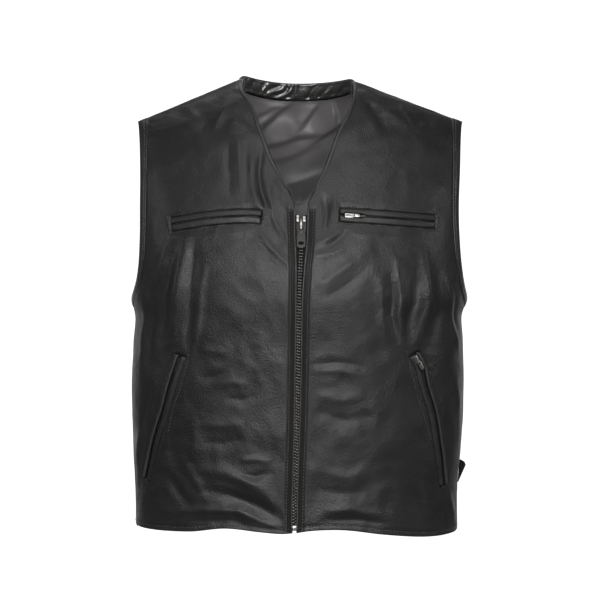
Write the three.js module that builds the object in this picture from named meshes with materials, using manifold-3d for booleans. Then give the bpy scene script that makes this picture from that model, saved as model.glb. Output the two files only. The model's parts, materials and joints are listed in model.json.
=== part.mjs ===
// Leather vest, zipped shut and filled out as it is worn, with nobody inside it.
// Millimetres, +Z up, front towards -Y. Right and left are the wearer's own, so the right is at -X.
// The origin lies midway between the shoulders, at the height where shoulders carry the vest.
import * as THREE from 'three';
import * as BufferGeometryUtils from 'three/addons/utils/BufferGeometryUtils.js';
import Module from 'manifold-3d';

const wasm = await Module();
wasm.setup();

// Sizes that drive everything
const LEATHER = 2.2; // wall of a panel: shell leather with its turned and fused backing
const LINING = 1;
// The lining's gap behind the leather at its sewn edges, at the next step in, and everywhere else
const LINING_HANG = { top: [1.2, 3.6, 5.4], side: [3, 4.2, 5.4] };
const SEAM = 0.3; // gap between pieces that are sewn edge to edge
const BAND_SEAM = 0.5; // the same along a curved band, whose walls turn as they go
const QUARTER_GIRTH = 297; // from the middle of the front or back to the side seam
const BODY_POWER = 2.5; // roundness of the body's section: 2 is an ellipse, more is squarer
const SECTION_ASPECT = 0.5; // depth to half width, for spacing points evenly round the section
const SHOULDER_TIP = 232.5; // from the middle line
const SHOULDER_TIP_HEIGHT = -31.5;
const SHOULDER_SLOPE = { right: 0.42, left: 0.38 };
const NECK_POINT = { right: 91, left: 83 }; // where the shoulder seam ends at the neck
const SHOULDER_BLEND = 45; // either side of the middle, where the two shoulders' tables meet
const BACK_CROWN = 30; // rise of the shoulder line towards the nape, under the collar
const FRONT_CROWN = 6;
const SHOULDER_REACH = 290; // height over which chest and back round over into the shoulders
const SHOULDER_REACH_TAPER = 0.5;
const ARMHOLE_BAND = 12.5;
const NECK_EDGE = 6;
const COLLAR = { thick: 2.6, gap: 2.8, nape: { low: 4, high: 28, seam: 13 }, front: { low: 17, high: 24 } };
const COLLAR_TIP = { right: { low: 18, high: 38.5 }, left: { low: 15, high: 33.5 } };
const COLLAR_LEAN = 0.2; // how far the stand leans in for each millimetre of its height

// The body's form. lean is how far the section's middle sits towards the wearer's left.
const SECTIONS = [
  { height: -625, halfWidth: 229, front: 121, back: 111, lean: -1.5 },
  { height: -550, halfWidth: 230, front: 120, back: 107, lean: -2.5 },
  { height: -500, halfWidth: 233.5, front: 121, back: 104, lean: -1.5 },
  { height: -450, halfWidth: 236, front: 122, back: 102, lean: -0.5 },
  { height: -400, halfWidth: 237, front: 123, back: 102, lean: -0.5 },
  { height: -345, halfWidth: 235, front: 125, back: 104, lean: 0.5 },
  { height: -310, halfWidth: 233, front: 127, back: 106, lean: 0.5 },
  { height: -283, halfWidth: 239.5, front: 128, back: 108, lean: 2 },
  { height: -250, halfWidth: 240, front: 127, back: 110, lean: 3 },
  { height: -205, halfWidth: 241, front: 122, back: 112, lean: 2.5 },
  { height: -155, halfWidth: 242, front: 115, back: 114, lean: 2 },
  { height: -100, halfWidth: 243, front: 108, back: 116, lean: 3 },
  { height: -31, halfWidth: 243, front: 100, back: 118, lean: 3 },
  { height: 40, halfWidth: 244, front: 92, back: 120, lean: 3 },
];

// Cut edge of the armhole, from the underarm to the shoulder. around is a share of the quarter girth.
const ARMHOLE = [
  { around: 1, height: -284 },
  { around: 0.935, height: -281.5 },
  { around: 0.87, height: -268 },
  { around: 0.827, height: -240 },
  { around: 0.803, height: -200 },
  { around: 0.795, height: -150 },
  { around: 0.801, height: -85 },
];

// Edge of the V neck, from the top of the zip to the neck point. out is measured from x = 0.
const NECKLINE = {
  right: [
    { out: -4.2, height: -153 },
    { out: -14.6, height: -134 },
    { out: -28.6, height: -113 },
    { out: -41, height: -90 },
    { out: -52, height: -62 },
    { out: -62, height: -34 },
    { out: -71, height: -12 },
    { out: -82, height: 7 },
  ],
  left: [
    { out: 13.8, height: -153 },
    { out: 29, height: -126 },
    { out: 39, height: -108 },
    { out: 48, height: -87 },
    { out: 55.5, height: -65 },
    { out: 64.5, height: -43 },
    { out: 73.5, height: -27 },
    { out: 81, height: -9 },
    { out: 84, height: 5 },
  ],
};

// The zip's middle line and half of the gap between the two folded front edges.
const ZIP_LINE = [
  { height: -625, middle: -4.9, halfGap: 2.4 },
  { height: -577, middle: -4.7, halfGap: 2.8 },
  { height: -535, middle: -3.7, halfGap: 2.6 },
  { height: -452, middle: -1, halfGap: 3 },
  { height: -380, middle: 0.2, halfGap: 3.3 },
  { height: -286, middle: 1.7, halfGap: 3.6 },
  { height: -240, middle: 3.4, halfGap: 5.2 },
  { height: -217, middle: 4.2, halfGap: 6.6 },
  { height: -200, middle: 4.4, halfGap: 7.7 },
  { height: -175, middle: 4.6, halfGap: 8.2 },
  { height: -153, middle: 4.8, halfGap: 9 },
];

// Lower edge of the fronts; round is millimetres from the middle, minus to the right.
const FRONT_HEM = [
  { round: -297, height: -603 },
  { round: -230, height: -608 },
  { round: -156, height: -609 },
  { round: -103, height: -604 },
  { round: -50, height: -609 },
  { round: -17, height: -611 },
  { round: 23, height: -606 },
  { round: 69, height: -605.5 },
  { round: 128, height: -612.5 },
  { round: 190, height: -617 },
  { round: 247, height: -615 },
  { round: 297, height: -609 },
];

// Largest folds: a line across the panel in millimetres (round, height), the fold's half width and lift.
// A plus lift is a ridge and a minus lift is a trough.
const FOLDS = [
  { face: 'front', path: [[-151, -226], [-168, -290], [-170, -352]], spread: 12, lift: 4.6 },
  { face: 'front', path: [[-134, -235], [-146, -300], [-150, -345]], spread: 11, lift: -3.6 },
  { face: 'front', path: [[-176, -232], [-186, -300], [-204, -372]], spread: 12, lift: -4.2 },
  { face: 'front', path: [[-163, -208], [-196, -250], [-212, -285]], spread: 12, lift: 3.4 },
  { face: 'front', path: [[-238, -250], [-246, -300], [-240, -350], [-246, -425]], spread: 13, lift: 3 },
  { face: 'front', path: [[-144, -534], [-84, -566], [-24, -578]], spread: 17, lift: -4 },
  { face: 'front', path: [[-166, -572], [-92, -592], [-18, -597]], spread: 11, lift: 3 },
  { face: 'front', path: [[-190, -566], [-142, -520]], spread: 13, lift: -3 },
  { face: 'front', path: [[-88, -410], [-102, -482]], spread: 20, lift: -3 },
  { face: 'front', path: [[-62, -84], [-62, -124], [-36, -176]], spread: 9, lift: -3 },
  { face: 'front', path: [[-102, 6], [-140, -52]], spread: 15, lift: 2.6 },
  { face: 'front', path: [[136, -262], [143, -322], [152, -352]], spread: 12, lift: 4 },
  { face: 'front', path: [[162, -262], [156, -352]], spread: 11, lift: -4 },
  { face: 'front', path: [[172, -232], [181, -286], [168, -346]], spread: 12, lift: 3.6 },
  { face: 'front', path: [[222, -284], [240, -338], [258, -366]], spread: 13, lift: 3.6 },
  { face: 'front', path: [[106, 2], [150, -50]], spread: 11, lift: 2.8 },
  { face: 'front', path: [[128, -8], [184, -52]], spread: 10, lift: 2.4 },
  { face: 'front', path: [[30, -593], [92, -590]], spread: 10, lift: 3 },
  { face: 'front', path: [[196, -566], [226, -602]], spread: 12, lift: -3.2 },
  { face: 'front', path: [[60, -420], [104, -500]], spread: 22, lift: -2.4 },
  { face: 'back', path: [[-204, -250], [-130, -318], [-60, -346]], spread: 17, lift: -4 },
  { face: 'back', path: [[214, -244], [150, -300], [84, -340]], spread: 16, lift: -4 },
  { face: 'back', path: [[-170, -110], [-150, -190], [-158, -260]], spread: 15, lift: 3 },
  { face: 'back', path: [[168, -100], [150, -176], [160, -250]], spread: 15, lift: 3 },
  { face: 'back', path: [[-150, -410], [-40, -432], [90, -420]], spread: 16, lift: -3.4 },
  { face: 'back', path: [[-110, -470], [20, -486], [150, -462]], spread: 17, lift: 3 },
  { face: 'back', path: [[-190, -560], [-96, -584]], spread: 13, lift: -3 },
  { face: 'back', path: [[110, -548], [196, -582]], spread: 13, lift: -3 },
];

// Folds of the loose lining, which stand in towards the wearer.
const LINING_FOLDS = [
  { face: 'back', path: [[-92, -28], [-10, -6]], spread: 9, lift: -4 },
  { face: 'back', path: [[-80, -66], [30, -14]], spread: 10, lift: -5 },
  { face: 'back', path: [[-20, -80], [84, -50]], spread: 12, lift: -5 },
  { face: 'back', path: [[-60, -130], [60, -96]], spread: 14, lift: -4 },
  { face: 'back', path: [[-120, -250], [40, -330]], spread: 20, lift: -4 },
];

// Zipped pockets. The slot's path (round, height) starts at the slider's end. The first lip is the upper
// or outer one. gape is half of the slot's width round a slider that shows, or 0 where the lips hide it.
const POCKETS = [
  {
    name: 'chest_pocket_right',
    slot: [[-52, -170.7], [-67, -169], [-95, -169.7], [-123, -172.1], [-151, -175.8], [-180, -180.5]],
    lips: { upper: 9, lower: 9.5 },
    side: 'right',
    pivot: 14,
    gape: 0,
    pull: { width: 4, length: 11 },
  },
  {
    name: 'chest_pocket_left',
    slot: [[55, -167.1], [90, -169.2], [124, -171.5], [156, -173.7], [192, -176]],
    lips: { upper: 9, lower: 9.5 },
    side: 'left',
    pivot: 17,
    gape: 2.7,
    pull: { width: 4, length: 11 },
  },
  {
    name: 'hand_pocket_right',
    slot: [[-168, -362.7], [-180, -399], [-193, -438.5], [-208, -474.4], [-221, -510.8], [-232, -538]],
    lips: { outer: 9.5, inner: 9.5 },
    side: 'right',
    pivot: 14,
    gape: 0,
    pull: { width: 5.4, length: 13 },
  },
  {
    name: 'hand_pocket_left',
    slot: [[165, -361], [177, -382], [184, -407], [198, -444.6], [211, -490], [221, -524], [227, -546]],
    lips: { outer: 9.5, inner: 9.5 },
    side: 'left',
    pivot: 13,
    gape: 3.5,
    pull: { width: 5.4, length: 13 },
  },
];
const LIP = { low: -1, high: 1.4 };
const SLOT_HALF = 0.8;
const WINDOW_GAP = 0.4;
const POCKET_STEPS = 12;
const POCKET_TAPE = { overlap: 3, low: -4.1, high: -3.1 };
const POCKET_SLIDER = {
  plate: { half: 3.4, up: 10, down: -1.8, low: -2.8, high: -1.4 },
  arch: { half: 0.7, up: 8, down: -2.3, inner: 0.85, outer: 1.6, wall: 0.9 },
  pin: { level: -0.2, thick: 1 },
};
const POCKET_EYE = { half: 1.3, length: 4.2 };

// Main zip. Levels are measured out from the leather's face.
const ZIP_TAPE = { inner: 3.5, outer: 15, low: -3.9, high: -2.9, bottom: -604, top: -167 };
const ZIP_TEETH = { half: 3.2, low: -5, high: -2.6, bottom: -599, top: -195 };
const ZIP_STOP = { half: 3.4, low: -5.2, high: -2.5, bottom: -606.5, top: -599.5 };
const ZIP_ROW = 18.5;
const ZIP_PIVOT = -186;
const ZIP_SLIDER = {
  plate: { half: 7, foot: 5.2, up: 18, down: -8, low: -1.9, high: 0.5 },
  backPlate: { low: -6.2, high: -4.9 },
  post: { half: 1.4, up: 16, down: 9 },
  arch: { half: 1.3, up: 14, down: -3, inner: 3.8, outer: 5.2, wall: 1.4 },
  pin: { level: 2.2, thick: 1.6 },
};
const ZIP_PULL = {
  top: 7,
  width: 12.4,
  length: 28,
  eye: { half: 2.7, length: 8.5 },
  slot: { half: 3.6, from: 20, to: 24.4 },
};

const SIDE_TAB = { top: -514, bottom: -546, peak: -519, reach: 9.5, thick: 1.2, gap: 0.4 };

// Finish of each kind of piece
const FINISH = {
  leather: { color: 0x272625, roughness: 0.42, metalness: 0 },
  trim: { color: 0x2e2c2b, roughness: 0.4, metalness: 0 },
  satin: { color: 0x3a3838, roughness: 0.3, metalness: 0 },
  tape: { color: 0x141414, roughness: 0.85, metalness: 0 },
  nickel: { color: 0xb9b8b4, roughness: 0.28, metalness: 1 },
  gunmetal: { color: 0x6f6d6a, roughness: 0.35, metalness: 1 },
};

// A smooth curve through the rows of a table, one column against another.
function column(table, key, value) {
  const knots = table.map((row) => row[key]);
  const values = table.map((row) => row[value]);
  const slopes = knots.map((_, i) => {
    const lo = Math.max(0, i - 1);
    const hi = Math.min(knots.length - 1, i + 1);
    return (values[hi] - values[lo]) / (knots[hi] - knots[lo]);
  });
  return (at) => {
    const x = Math.min(Math.max(at, knots[0]), knots[knots.length - 1]);
    let i = 0;
    while (i < knots.length - 2 && x > knots[i + 1]) i += 1;
    const span = knots[i + 1] - knots[i];
    const t = (x - knots[i]) / span;
    const start = (2 * t ** 3 - 3 * t ** 2 + 1) * values[i];
    const leave = (t ** 3 - 2 * t ** 2 + t) * span * slopes[i];
    const end = (-2 * t ** 3 + 3 * t ** 2) * values[i + 1];
    const arrive = (t ** 3 - t ** 2) * span * slopes[i + 1];
    return start + leave + end + arrive;
  };
}

const halfWidth = column(SECTIONS, 'height', 'halfWidth');
const depth = { front: column(SECTIONS, 'height', 'front'), back: column(SECTIONS, 'height', 'back') };
const lean = column(SECTIONS, 'height', 'lean');
const zipMiddle = column(ZIP_LINE, 'height', 'middle');
const zipHalfGap = column(ZIP_LINE, 'height', 'halfGap');
const frontHem = column(FRONT_HEM, 'round', 'height');

// Points spaced evenly by length round a quarter of the section, from the middle line to the side.
const QUARTER_POINTS = 400;
const quarter = [{ along: 0, x: 0, y: 1 }];
for (let i = 1; i <= QUARTER_POINTS; i += 1) {
  const angle = (Math.PI / 2) * (1 - i / QUARTER_POINTS);
  const x = Math.max(0, Math.cos(angle)) ** (2 / BODY_POWER);
  const y = Math.max(0, Math.sin(angle)) ** (2 / BODY_POWER);
  const last = quarter[i - 1];
  quarter.push({ along: last.along + Math.hypot(x - last.x, SECTION_ASPECT * (y - last.y)), x, y });
}
const quarterLength = quarter[QUARTER_POINTS].along;

function lookUp(key, at, value) {
  let lo = 0;
  let hi = QUARTER_POINTS;
  while (hi - lo > 1) {
    const mid = (lo + hi) >> 1;
    if (quarter[mid][key] <= at) lo = mid;
    else hi = mid;
  }
  const t = (at - quarter[lo][key]) / (quarter[hi][key] - quarter[lo][key]);
  return quarter[lo][value] + t * (quarter[hi][value] - quarter[lo][value]);
}

const smooth = (t) => {
  const x = Math.min(1, Math.max(0, t));
  return x * x * (3 - 2 * x);
};

const mix = (a, b, t) => a + (b - a) * t;

// The unit section at a place round the girth: 0 is the middle of the face, 1 or -1 a side seam.
function section(around) {
  let q = Math.abs(around);
  const facing = q > 1 ? -1 : 1;
  if (q > 1) q = 2 - q;
  const x = lookUp('along', q * quarterLength, 'x');
  return { x: Math.sign(around) * x, y: facing * lookUp('along', q * quarterLength, 'y') };
}

function aroundOf(x, height) {
  const share = (x - lean(height)) / halfWidth(height);
  const along = lookUp('x', Math.min(Math.abs(share), 1), 'along');
  return (Math.sign(share) * along) / quarterLength;
}

function shoulderLine(face, out) {
  const left = smooth((out + SHOULDER_BLEND) / (2 * SHOULDER_BLEND));
  const slope = mix(SHOULDER_SLOPE.right, SHOULDER_SLOPE.left, left);
  const reach = Math.abs(out);
  const neck = mix(NECK_POINT.right, NECK_POINT.left, left);
  const line = SHOULDER_TIP_HEIGHT + slope * (SHOULDER_TIP - Math.max(reach, neck));
  if (reach >= neck) return line;
  const crown = face === 'back' ? BACK_CROWN : FRONT_CROWN;
  return line + crown * (1 - (reach / neck) ** 2);
}

const shoulderReach = (out) => SHOULDER_REACH - SHOULDER_REACH_TAPER * Math.abs(out);

// A spot on the garment is { face, around, rise }. rise is measured up the cloth from the line where
// the shoulder starts to round over; below that line it is minus.
function base({ face, around, rise }) {
  const unit = section(around);
  let height = rise < 0 ? -250 + rise : -100;
  let out = 0;
  let reach = SHOULDER_REACH;
  let lying = 0;
  for (let pass = 0; pass < 5; pass += 1) {
    out = halfWidth(height) * unit.x;
    reach = shoulderReach(out);
    lying = rise < 0 ? 0 : rise / reach;
    const start = shoulderLine(face, out) - reach;
    height = rise < 0 ? start + rise : start + reach * Math.sin(lying);
  }
  const deep = depth[face](height) * unit.y * Math.cos(lying);
  return new THREE.Vector3(lean(height) + out, face === 'front' ? -deep : deep, height);
}

function riseOf(face, around, height) {
  const out = halfWidth(height) * section(around).x;
  const reach = shoulderReach(out);
  const start = shoulderLine(face, out) - reach;
  if (height <= start) return height - start;
  return reach * Math.asin(Math.min(1, (height - start) / reach));
}

function topRise(face, around) {
  let height = 0;
  let out = 0;
  for (let pass = 0; pass < 5; pass += 1) {
    out = halfWidth(height) * section(around).x;
    height = shoulderLine(face, out);
  }
  return (shoulderReach(out) * Math.PI) / 2;
}

const spot = (face, around, height) => ({ face, around, rise: riseOf(face, around, height) });

// Folds die away at the zip, the pockets, the neck and the shoulder seam, which hold the leather still.
function nearest(path, round, height) {
  let best = { distance: Infinity, share: 0 };
  for (let i = 0; i < path.length - 1; i += 1) {
    const [ax, ay] = path[i];
    const [bx, by] = path[i + 1];
    const length = (bx - ax) ** 2 + (by - ay) ** 2;
    const t = Math.min(1, Math.max(0, ((round - ax) * (bx - ax) + (height - ay) * (by - ay)) / length));
    const distance = Math.hypot(round - ax - t * (bx - ax), height - ay - t * (by - ay));
    if (distance < best.distance) best = { distance, share: (i + t) / (path.length - 1) };
  }
  return best;
}

function foldLift(folds, face, round, height) {
  let lift = 0;
  for (const fold of folds) {
    if (fold.face === face) {
      const near = nearest(fold.path, round, height);
      const taper = 0.35 + 0.65 * Math.sin(Math.PI * near.share);
      lift += fold.lift * taper * Math.exp(-((near.distance / fold.spread) ** 2));
    }
  }
  return lift;
}

const CALM_REACH = 26;
function calm(face, round, height, toSeam) {
  let free = smooth(toSeam / 30);
  if (face === 'front') {
    free *= smooth((Math.abs(round) - 12) / 24);
    for (const pocket of POCKETS) {
      free *= smooth((nearest(pocket.slot, round, height).distance - 14) / CALM_REACH);
    }
  }
  return free * smooth((QUARTER_GIRTH - Math.abs(round)) / 24);
}

function lifted(place, folds) {
  const point = base(place);
  const round = place.around * QUARTER_GIRTH;
  const toSeam = topRise(place.face, place.around) - place.rise;
  return foldLift(folds, place.face, round, point.z) * calm(place.face, round, point.z, toSeam);
}

const PROBE_AROUND = 0.004;
const PROBE_RISE = 1;
function slopes(place, at) {
  const shift = (around, rise) => at({ ...place, around: place.around + around, rise: place.rise + rise });
  const across = shift(PROBE_AROUND, 0).sub(shift(-PROBE_AROUND, 0)).divideScalar(2 * PROBE_AROUND);
  const up = shift(0, PROBE_RISE).sub(shift(0, -PROBE_RISE)).divideScalar(2 * PROBE_RISE);
  const normal = across.clone().cross(up).normalize();
  if (place.face === 'back') normal.negate();
  return { across, up, normal };
}

function folded(place) {
  const { normal } = slopes(place, base);
  return base(place).addScaledVector(normal, lifted(place, FOLDS));
}

// The point at a spot, moved out from the leather's outer face by so many millimetres.
function at(place, out = 0) {
  const { normal } = slopes(place, folded);
  return folded(place).addScaledVector(normal, out);
}

// Moves each spot of a closed or open line sideways over the cloth.
function inset(line, distance, closed) {
  const count = line.length;
  return line.map((place, i) => {
    const before = line[closed ? (i + count - 1) % count : Math.max(0, i - 1)];
    const after = line[closed ? (i + 1) % count : Math.min(count - 1, i + 1)];
    const along = base(after).sub(base(before)).normalize();
    const { across, up, normal } = slopes(place, base);
    const width = typeof distance === 'function' ? distance(i) : distance;
    const move = normal.clone().cross(along).normalize().multiplyScalar(width);
    const aa = across.dot(across);
    const bb = up.dot(up);
    const ab = across.dot(up);
    const ma = move.dot(across);
    const mb = move.dot(up);
    const scale = aa * bb - ab * ab;
    return {
      face: place.face,
      around: place.around + (ma * bb - mb * ab) / scale,
      rise: place.rise + (mb * aa - ma * ab) / scale,
    };
  });
}

// A closed solid from a grid of outer points and a grid of inner points.
function solid(outer, inner, wrap = false) {
  const rows = outer.length;
  const columns = outer[0].length;
  const positions = [];
  const indices = [];
  for (const grid of [outer, inner]) {
    for (const row of grid) for (const point of row) positions.push(point.x, point.y, point.z);
  }
  const id = (layer, i, j) => layer * rows * columns + (i % rows) * columns + j;
  const quad = (a, b, c, d) => indices.push(a, b, c, a, c, d);
  const last = wrap ? rows : rows - 1;
  for (let i = 0; i < last; i += 1) {
    for (let j = 0; j < columns - 1; j += 1) {
      quad(id(0, i, j), id(0, i, j + 1), id(0, i + 1, j + 1), id(0, i + 1, j));
      quad(id(1, i, j), id(1, i + 1, j), id(1, i + 1, j + 1), id(1, i, j + 1));
    }
    quad(id(0, i, 0), id(0, i + 1, 0), id(1, i + 1, 0), id(1, i, 0));
    quad(id(0, i, columns - 1), id(1, i, columns - 1), id(1, i + 1, columns - 1), id(0, i + 1, columns - 1));
  }
  if (!wrap) {
    for (let j = 0; j < columns - 1; j += 1) {
      quad(id(0, 0, j), id(1, 0, j), id(1, 0, j + 1), id(0, 0, j + 1));
      quad(id(0, last, j), id(0, last, j + 1), id(1, last, j + 1), id(1, last, j));
    }
  }
  const geometry = new THREE.BufferGeometry();
  geometry.setAttribute('position', new THREE.Float32BufferAttribute(positions, 3));
  geometry.setIndex(indices);
  return outward(geometry);
}

function volume(geometry) {
  const p = geometry.attributes.position;
  const index = geometry.index.array;
  const a = new THREE.Vector3();
  const b = new THREE.Vector3();
  const c = new THREE.Vector3();
  let sum = 0;
  for (let i = 0; i < index.length; i += 3) {
    a.fromBufferAttribute(p, index[i]);
    b.fromBufferAttribute(p, index[i + 1]);
    c.fromBufferAttribute(p, index[i + 2]);
    sum += a.dot(b.cross(c)) / 6;
  }
  return sum;
}

function outward(geometry) {
  if (volume(geometry) > 0) return geometry;
  const index = geometry.index.array;
  for (let i = 0; i < index.length; i += 3) [index[i], index[i + 1]] = [index[i + 1], index[i]];
  return geometry;
}

// A wall over a grid of spots, from one level to another above or below the leather's outer face.
function wall(grid, low, high, wrap = false) {
  const layer = (out) => grid.map((row) => row.map((place) => at(place, out)));
  return solid(layer(high), layer(low), wrap);
}

function toManifold(geometry) {
  const plain = geometry.clone();
  plain.deleteAttribute('normal');
  plain.deleteAttribute('uv');
  const merged = BufferGeometryUtils.mergeVertices(plain, 1e-4);
  return new wasm.Manifold(new wasm.Mesh({
    numProp: 3,
    vertProperties: new Float32Array(merged.attributes.position.array),
    triVerts: new Uint32Array(merged.index.array),
  }));
}

function fromManifold(body) {
  const mesh = body.getMesh();
  const geometry = new THREE.BufferGeometry();
  geometry.setAttribute('position', new THREE.BufferAttribute(mesh.vertProperties, 3));
  geometry.setIndex(new THREE.BufferAttribute(mesh.triVerts, 1));
  return geometry;
}

const cut = (geometry, tool) => fromManifold(toManifold(geometry).subtract(toManifold(tool)));
const joined = (parts) => fromManifold(parts.map(toManifold).reduce((sum, part) => sum.add(part)));

const vest = new THREE.Group();
function piece(name, geometry, finish) {
  const mesh = new THREE.Mesh(geometry, new THREE.MeshStandardMaterial(FINISH[finish]));
  mesh.name = name;
  vest.add(mesh);
}

const span = (count) => Array.from({ length: count + 1 }, (_, i) => i / count);

// Position along a polyline of numbers or spots, by its share of the line's points.
function along(list, share) {
  const place = share * (list.length - 1);
  const i = Math.min(list.length - 2, Math.floor(place));
  const t = place - i;
  return {
    face: list[i].face,
    around: mix(list[i].around, list[i + 1].around, t),
    rise: mix(list[i].rise, list[i + 1].rise, t),
  };
}

// Rows of the panels' grids. The bands are cut in the same steps, so that their edges run side by side.
const ROWS = { low: 16, chest: 6, neck: 10 };
const ARMHOLE_STEPS = ROWS.chest + ROWS.neck;
const NECK_STEPS = ROWS.neck;

// Edge of an armhole as a closed line: up the front from the underarm, over the shoulder, down the back.
function armholeLine(side) {
  const sign = side === 'right' ? -1 : 1;
  const half = (face) => {
    const knots = ARMHOLE.map((row) => {
      const place = spot(face, sign * row.around, row.height);
      return new THREE.Vector2(place.around, place.rise);
    });
    const tipShare = SHOULDER_TIP / halfWidth(SHOULDER_TIP_HEIGHT);
    const tipAround = (sign * lookUp('x', tipShare, 'along')) / quarterLength;
    knots.push(new THREE.Vector2(tipAround, topRise(face, tipAround)));
    const scaled = knots.map((knot) => new THREE.Vector3(knot.x * QUARTER_GIRTH, knot.y, 0));
    const curve = new THREE.CatmullRomCurve3(scaled, false, 'centripetal');
    return curve.getSpacedPoints(ARMHOLE_STEPS).map((point) => ({
      face,
      around: point.x / QUARTER_GIRTH,
      rise: point.y,
    }));
  };
  const front = half('front');
  const back = half('back').reverse();
  return [...front, ...back.slice(1, -1)];
}

function armholeBand(side) {
  const edge = armholeLine(side);
  const toward = side === 'right' ? -1 : 1;
  const inner = inset(edge, toward * (ARMHOLE_BAND - BAND_SEAM), true);
  const middle = inset(edge, toward * ARMHOLE_BAND * 0.5, true);
  const grid = edge.map((place, i) => [place, middle[i], inner[i]]);
  return wall(grid, -LEATHER - 0.3, 0.6, true);
}

// The panel's own edge along an armhole, from the underarm to the shoulder seam.
function armholeSeam(side, face) {
  const toward = side === 'right' ? -1 : 1;
  const line = inset(armholeLine(side), toward * ARMHOLE_BAND, true);
  const front = line.slice(0, ARMHOLE_STEPS + 1);
  const back = [line[0], ...line.slice(ARMHOLE_STEPS).reverse()];
  const half = face === 'front' ? front : back;
  return half.map((place) => ({ ...place, face }));
}

function neckPointAround(side) {
  const out = (side === 'right' ? -1 : 1) * NECK_POINT[side];
  const height = shoulderLine('front', out);
  return aroundOf(lean(height) + out, height);
}

// Edge of the V neck from the zip's top to the shoulder line.
function neckLine(side) {
  const knots = NECKLINE[side].map((row) => {
    const place = spot('front', aroundOf(row.out, row.height), row.height);
    return new THREE.Vector3(place.around * QUARTER_GIRTH, place.rise, 0);
  });
  const top = neckPointAround(side);
  knots.push(new THREE.Vector3(top * QUARTER_GIRTH, topRise('front', top), 0));
  const curve = new THREE.CatmullRomCurve3(knots, false, 'centripetal');
  return curve.getSpacedPoints(NECK_STEPS).map((point) => ({
    face: 'front',
    around: point.x / QUARTER_GIRTH,
    rise: point.y,
  }));
}

const neckEdgeWidth = (i) => mix(0.8, NECK_EDGE, smooth(i / 2)) + 2.5 * smooth((i - NECK_STEPS + 4) / 4);

function neckEdge(side) {
  const toward = side === 'right' ? -1 : 1;
  const edge = neckLine(side);
  const middle = inset(edge, (i) => -toward * neckEdgeWidth(i) * 0.5, false);
  const seam = inset(edge, (i) => -toward * neckEdgeWidth(i), false);
  const grid = edge.map((place, i) => [place, middle[i], seam[i]]);
  const last = grid[NECK_STEPS];
  for (const place of last) place.rise = topRise('front', place.around) - SEAM / 2;
  return wall(grid, -LEATHER - 0.2, 0.6);
}

function neckSeam(side) {
  const toward = side === 'right' ? -1 : 1;
  return inset(neckLine(side), (i) => -toward * (neckEdgeWidth(i) + BAND_SEAM), false);
}

// Front panel: rows run from the middle edge to the side seam or armhole.
const FRONT_COLUMNS = 17;
function frontPanel(side) {
  const sign = side === 'right' ? -1 : 1;
  const rows = ROWS.low + ROWS.chest + ROWS.neck;
  const upper = ROWS.chest + ROWS.neck;
  const armhole = armholeSeam(side, 'front');
  const neck = neckSeam(side);
  const sideAround = sign * (1 - SEAM / 2 / QUARTER_GIRTH);
  const underarm = armhole[0].rise;
  const middleHeight = -302;
  const vBottom = base(neck[0]).z;
  const edgeAround = (height) => aroundOf(zipMiddle(height) + sign * zipHalfGap(height), height);
  const grid = [];
  for (let row = 0; row <= rows; row += 1) {
    let start;
    let end;
    if (row <= ROWS.low) {
      const share = row / ROWS.low;
      const hem = frontHem(zipMiddle(-608));
      const height = mix(hem, middleHeight, share);
      start = spot('front', edgeAround(height), height);
      const sideHem = spot('front', sideAround, frontHem(sign * QUARTER_GIRTH));
      end = { face: 'front', around: sideAround, rise: mix(sideHem.rise, underarm, share) };
    } else {
      const step = row - ROWS.low;
      end = along(armhole, step / upper);
      if (step < ROWS.chest) {
        const height = mix(middleHeight, vBottom, step / ROWS.chest);
        start = spot('front', edgeAround(height), height);
      } else {
        start = along(neck, (step - ROWS.chest) / ROWS.neck);
      }
    }
    const line = span(FRONT_COLUMNS).map((t) => {
      const around = mix(start.around, end.around, t);
      let rise = mix(start.rise, end.rise, t);
      if (row < ROWS.low) {
        const hemRise = riseOf('front', around, frontHem(around * QUARTER_GIRTH));
        const flat = mix(
          riseOf('front', start.around, frontHem(start.around * QUARTER_GIRTH)),
          riseOf('front', end.around, frontHem(end.around * QUARTER_GIRTH)),
          t,
        );
        rise += (hemRise - flat) * (1 - row / ROWS.low);
      }
      if (row === rows) rise = topRise('front', around) - SEAM / 2;
      return { face: 'front', around, rise };
    });
    grid.push(line);
  }
  return wall(grid, -LEATHER, 0);
}

// Height of the back's neck edge, so far to the side of the middle.
function backNeckHeight(out) {
  const neck = out < 0 ? NECK_POINT.right : NECK_POINT.left;
  const share = Math.min(1, Math.abs(out) / neck);
  return mix(COLLAR.nape.seam, shoulderLine('back', Math.sign(out) * neck), share ** 2.4);
}

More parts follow.
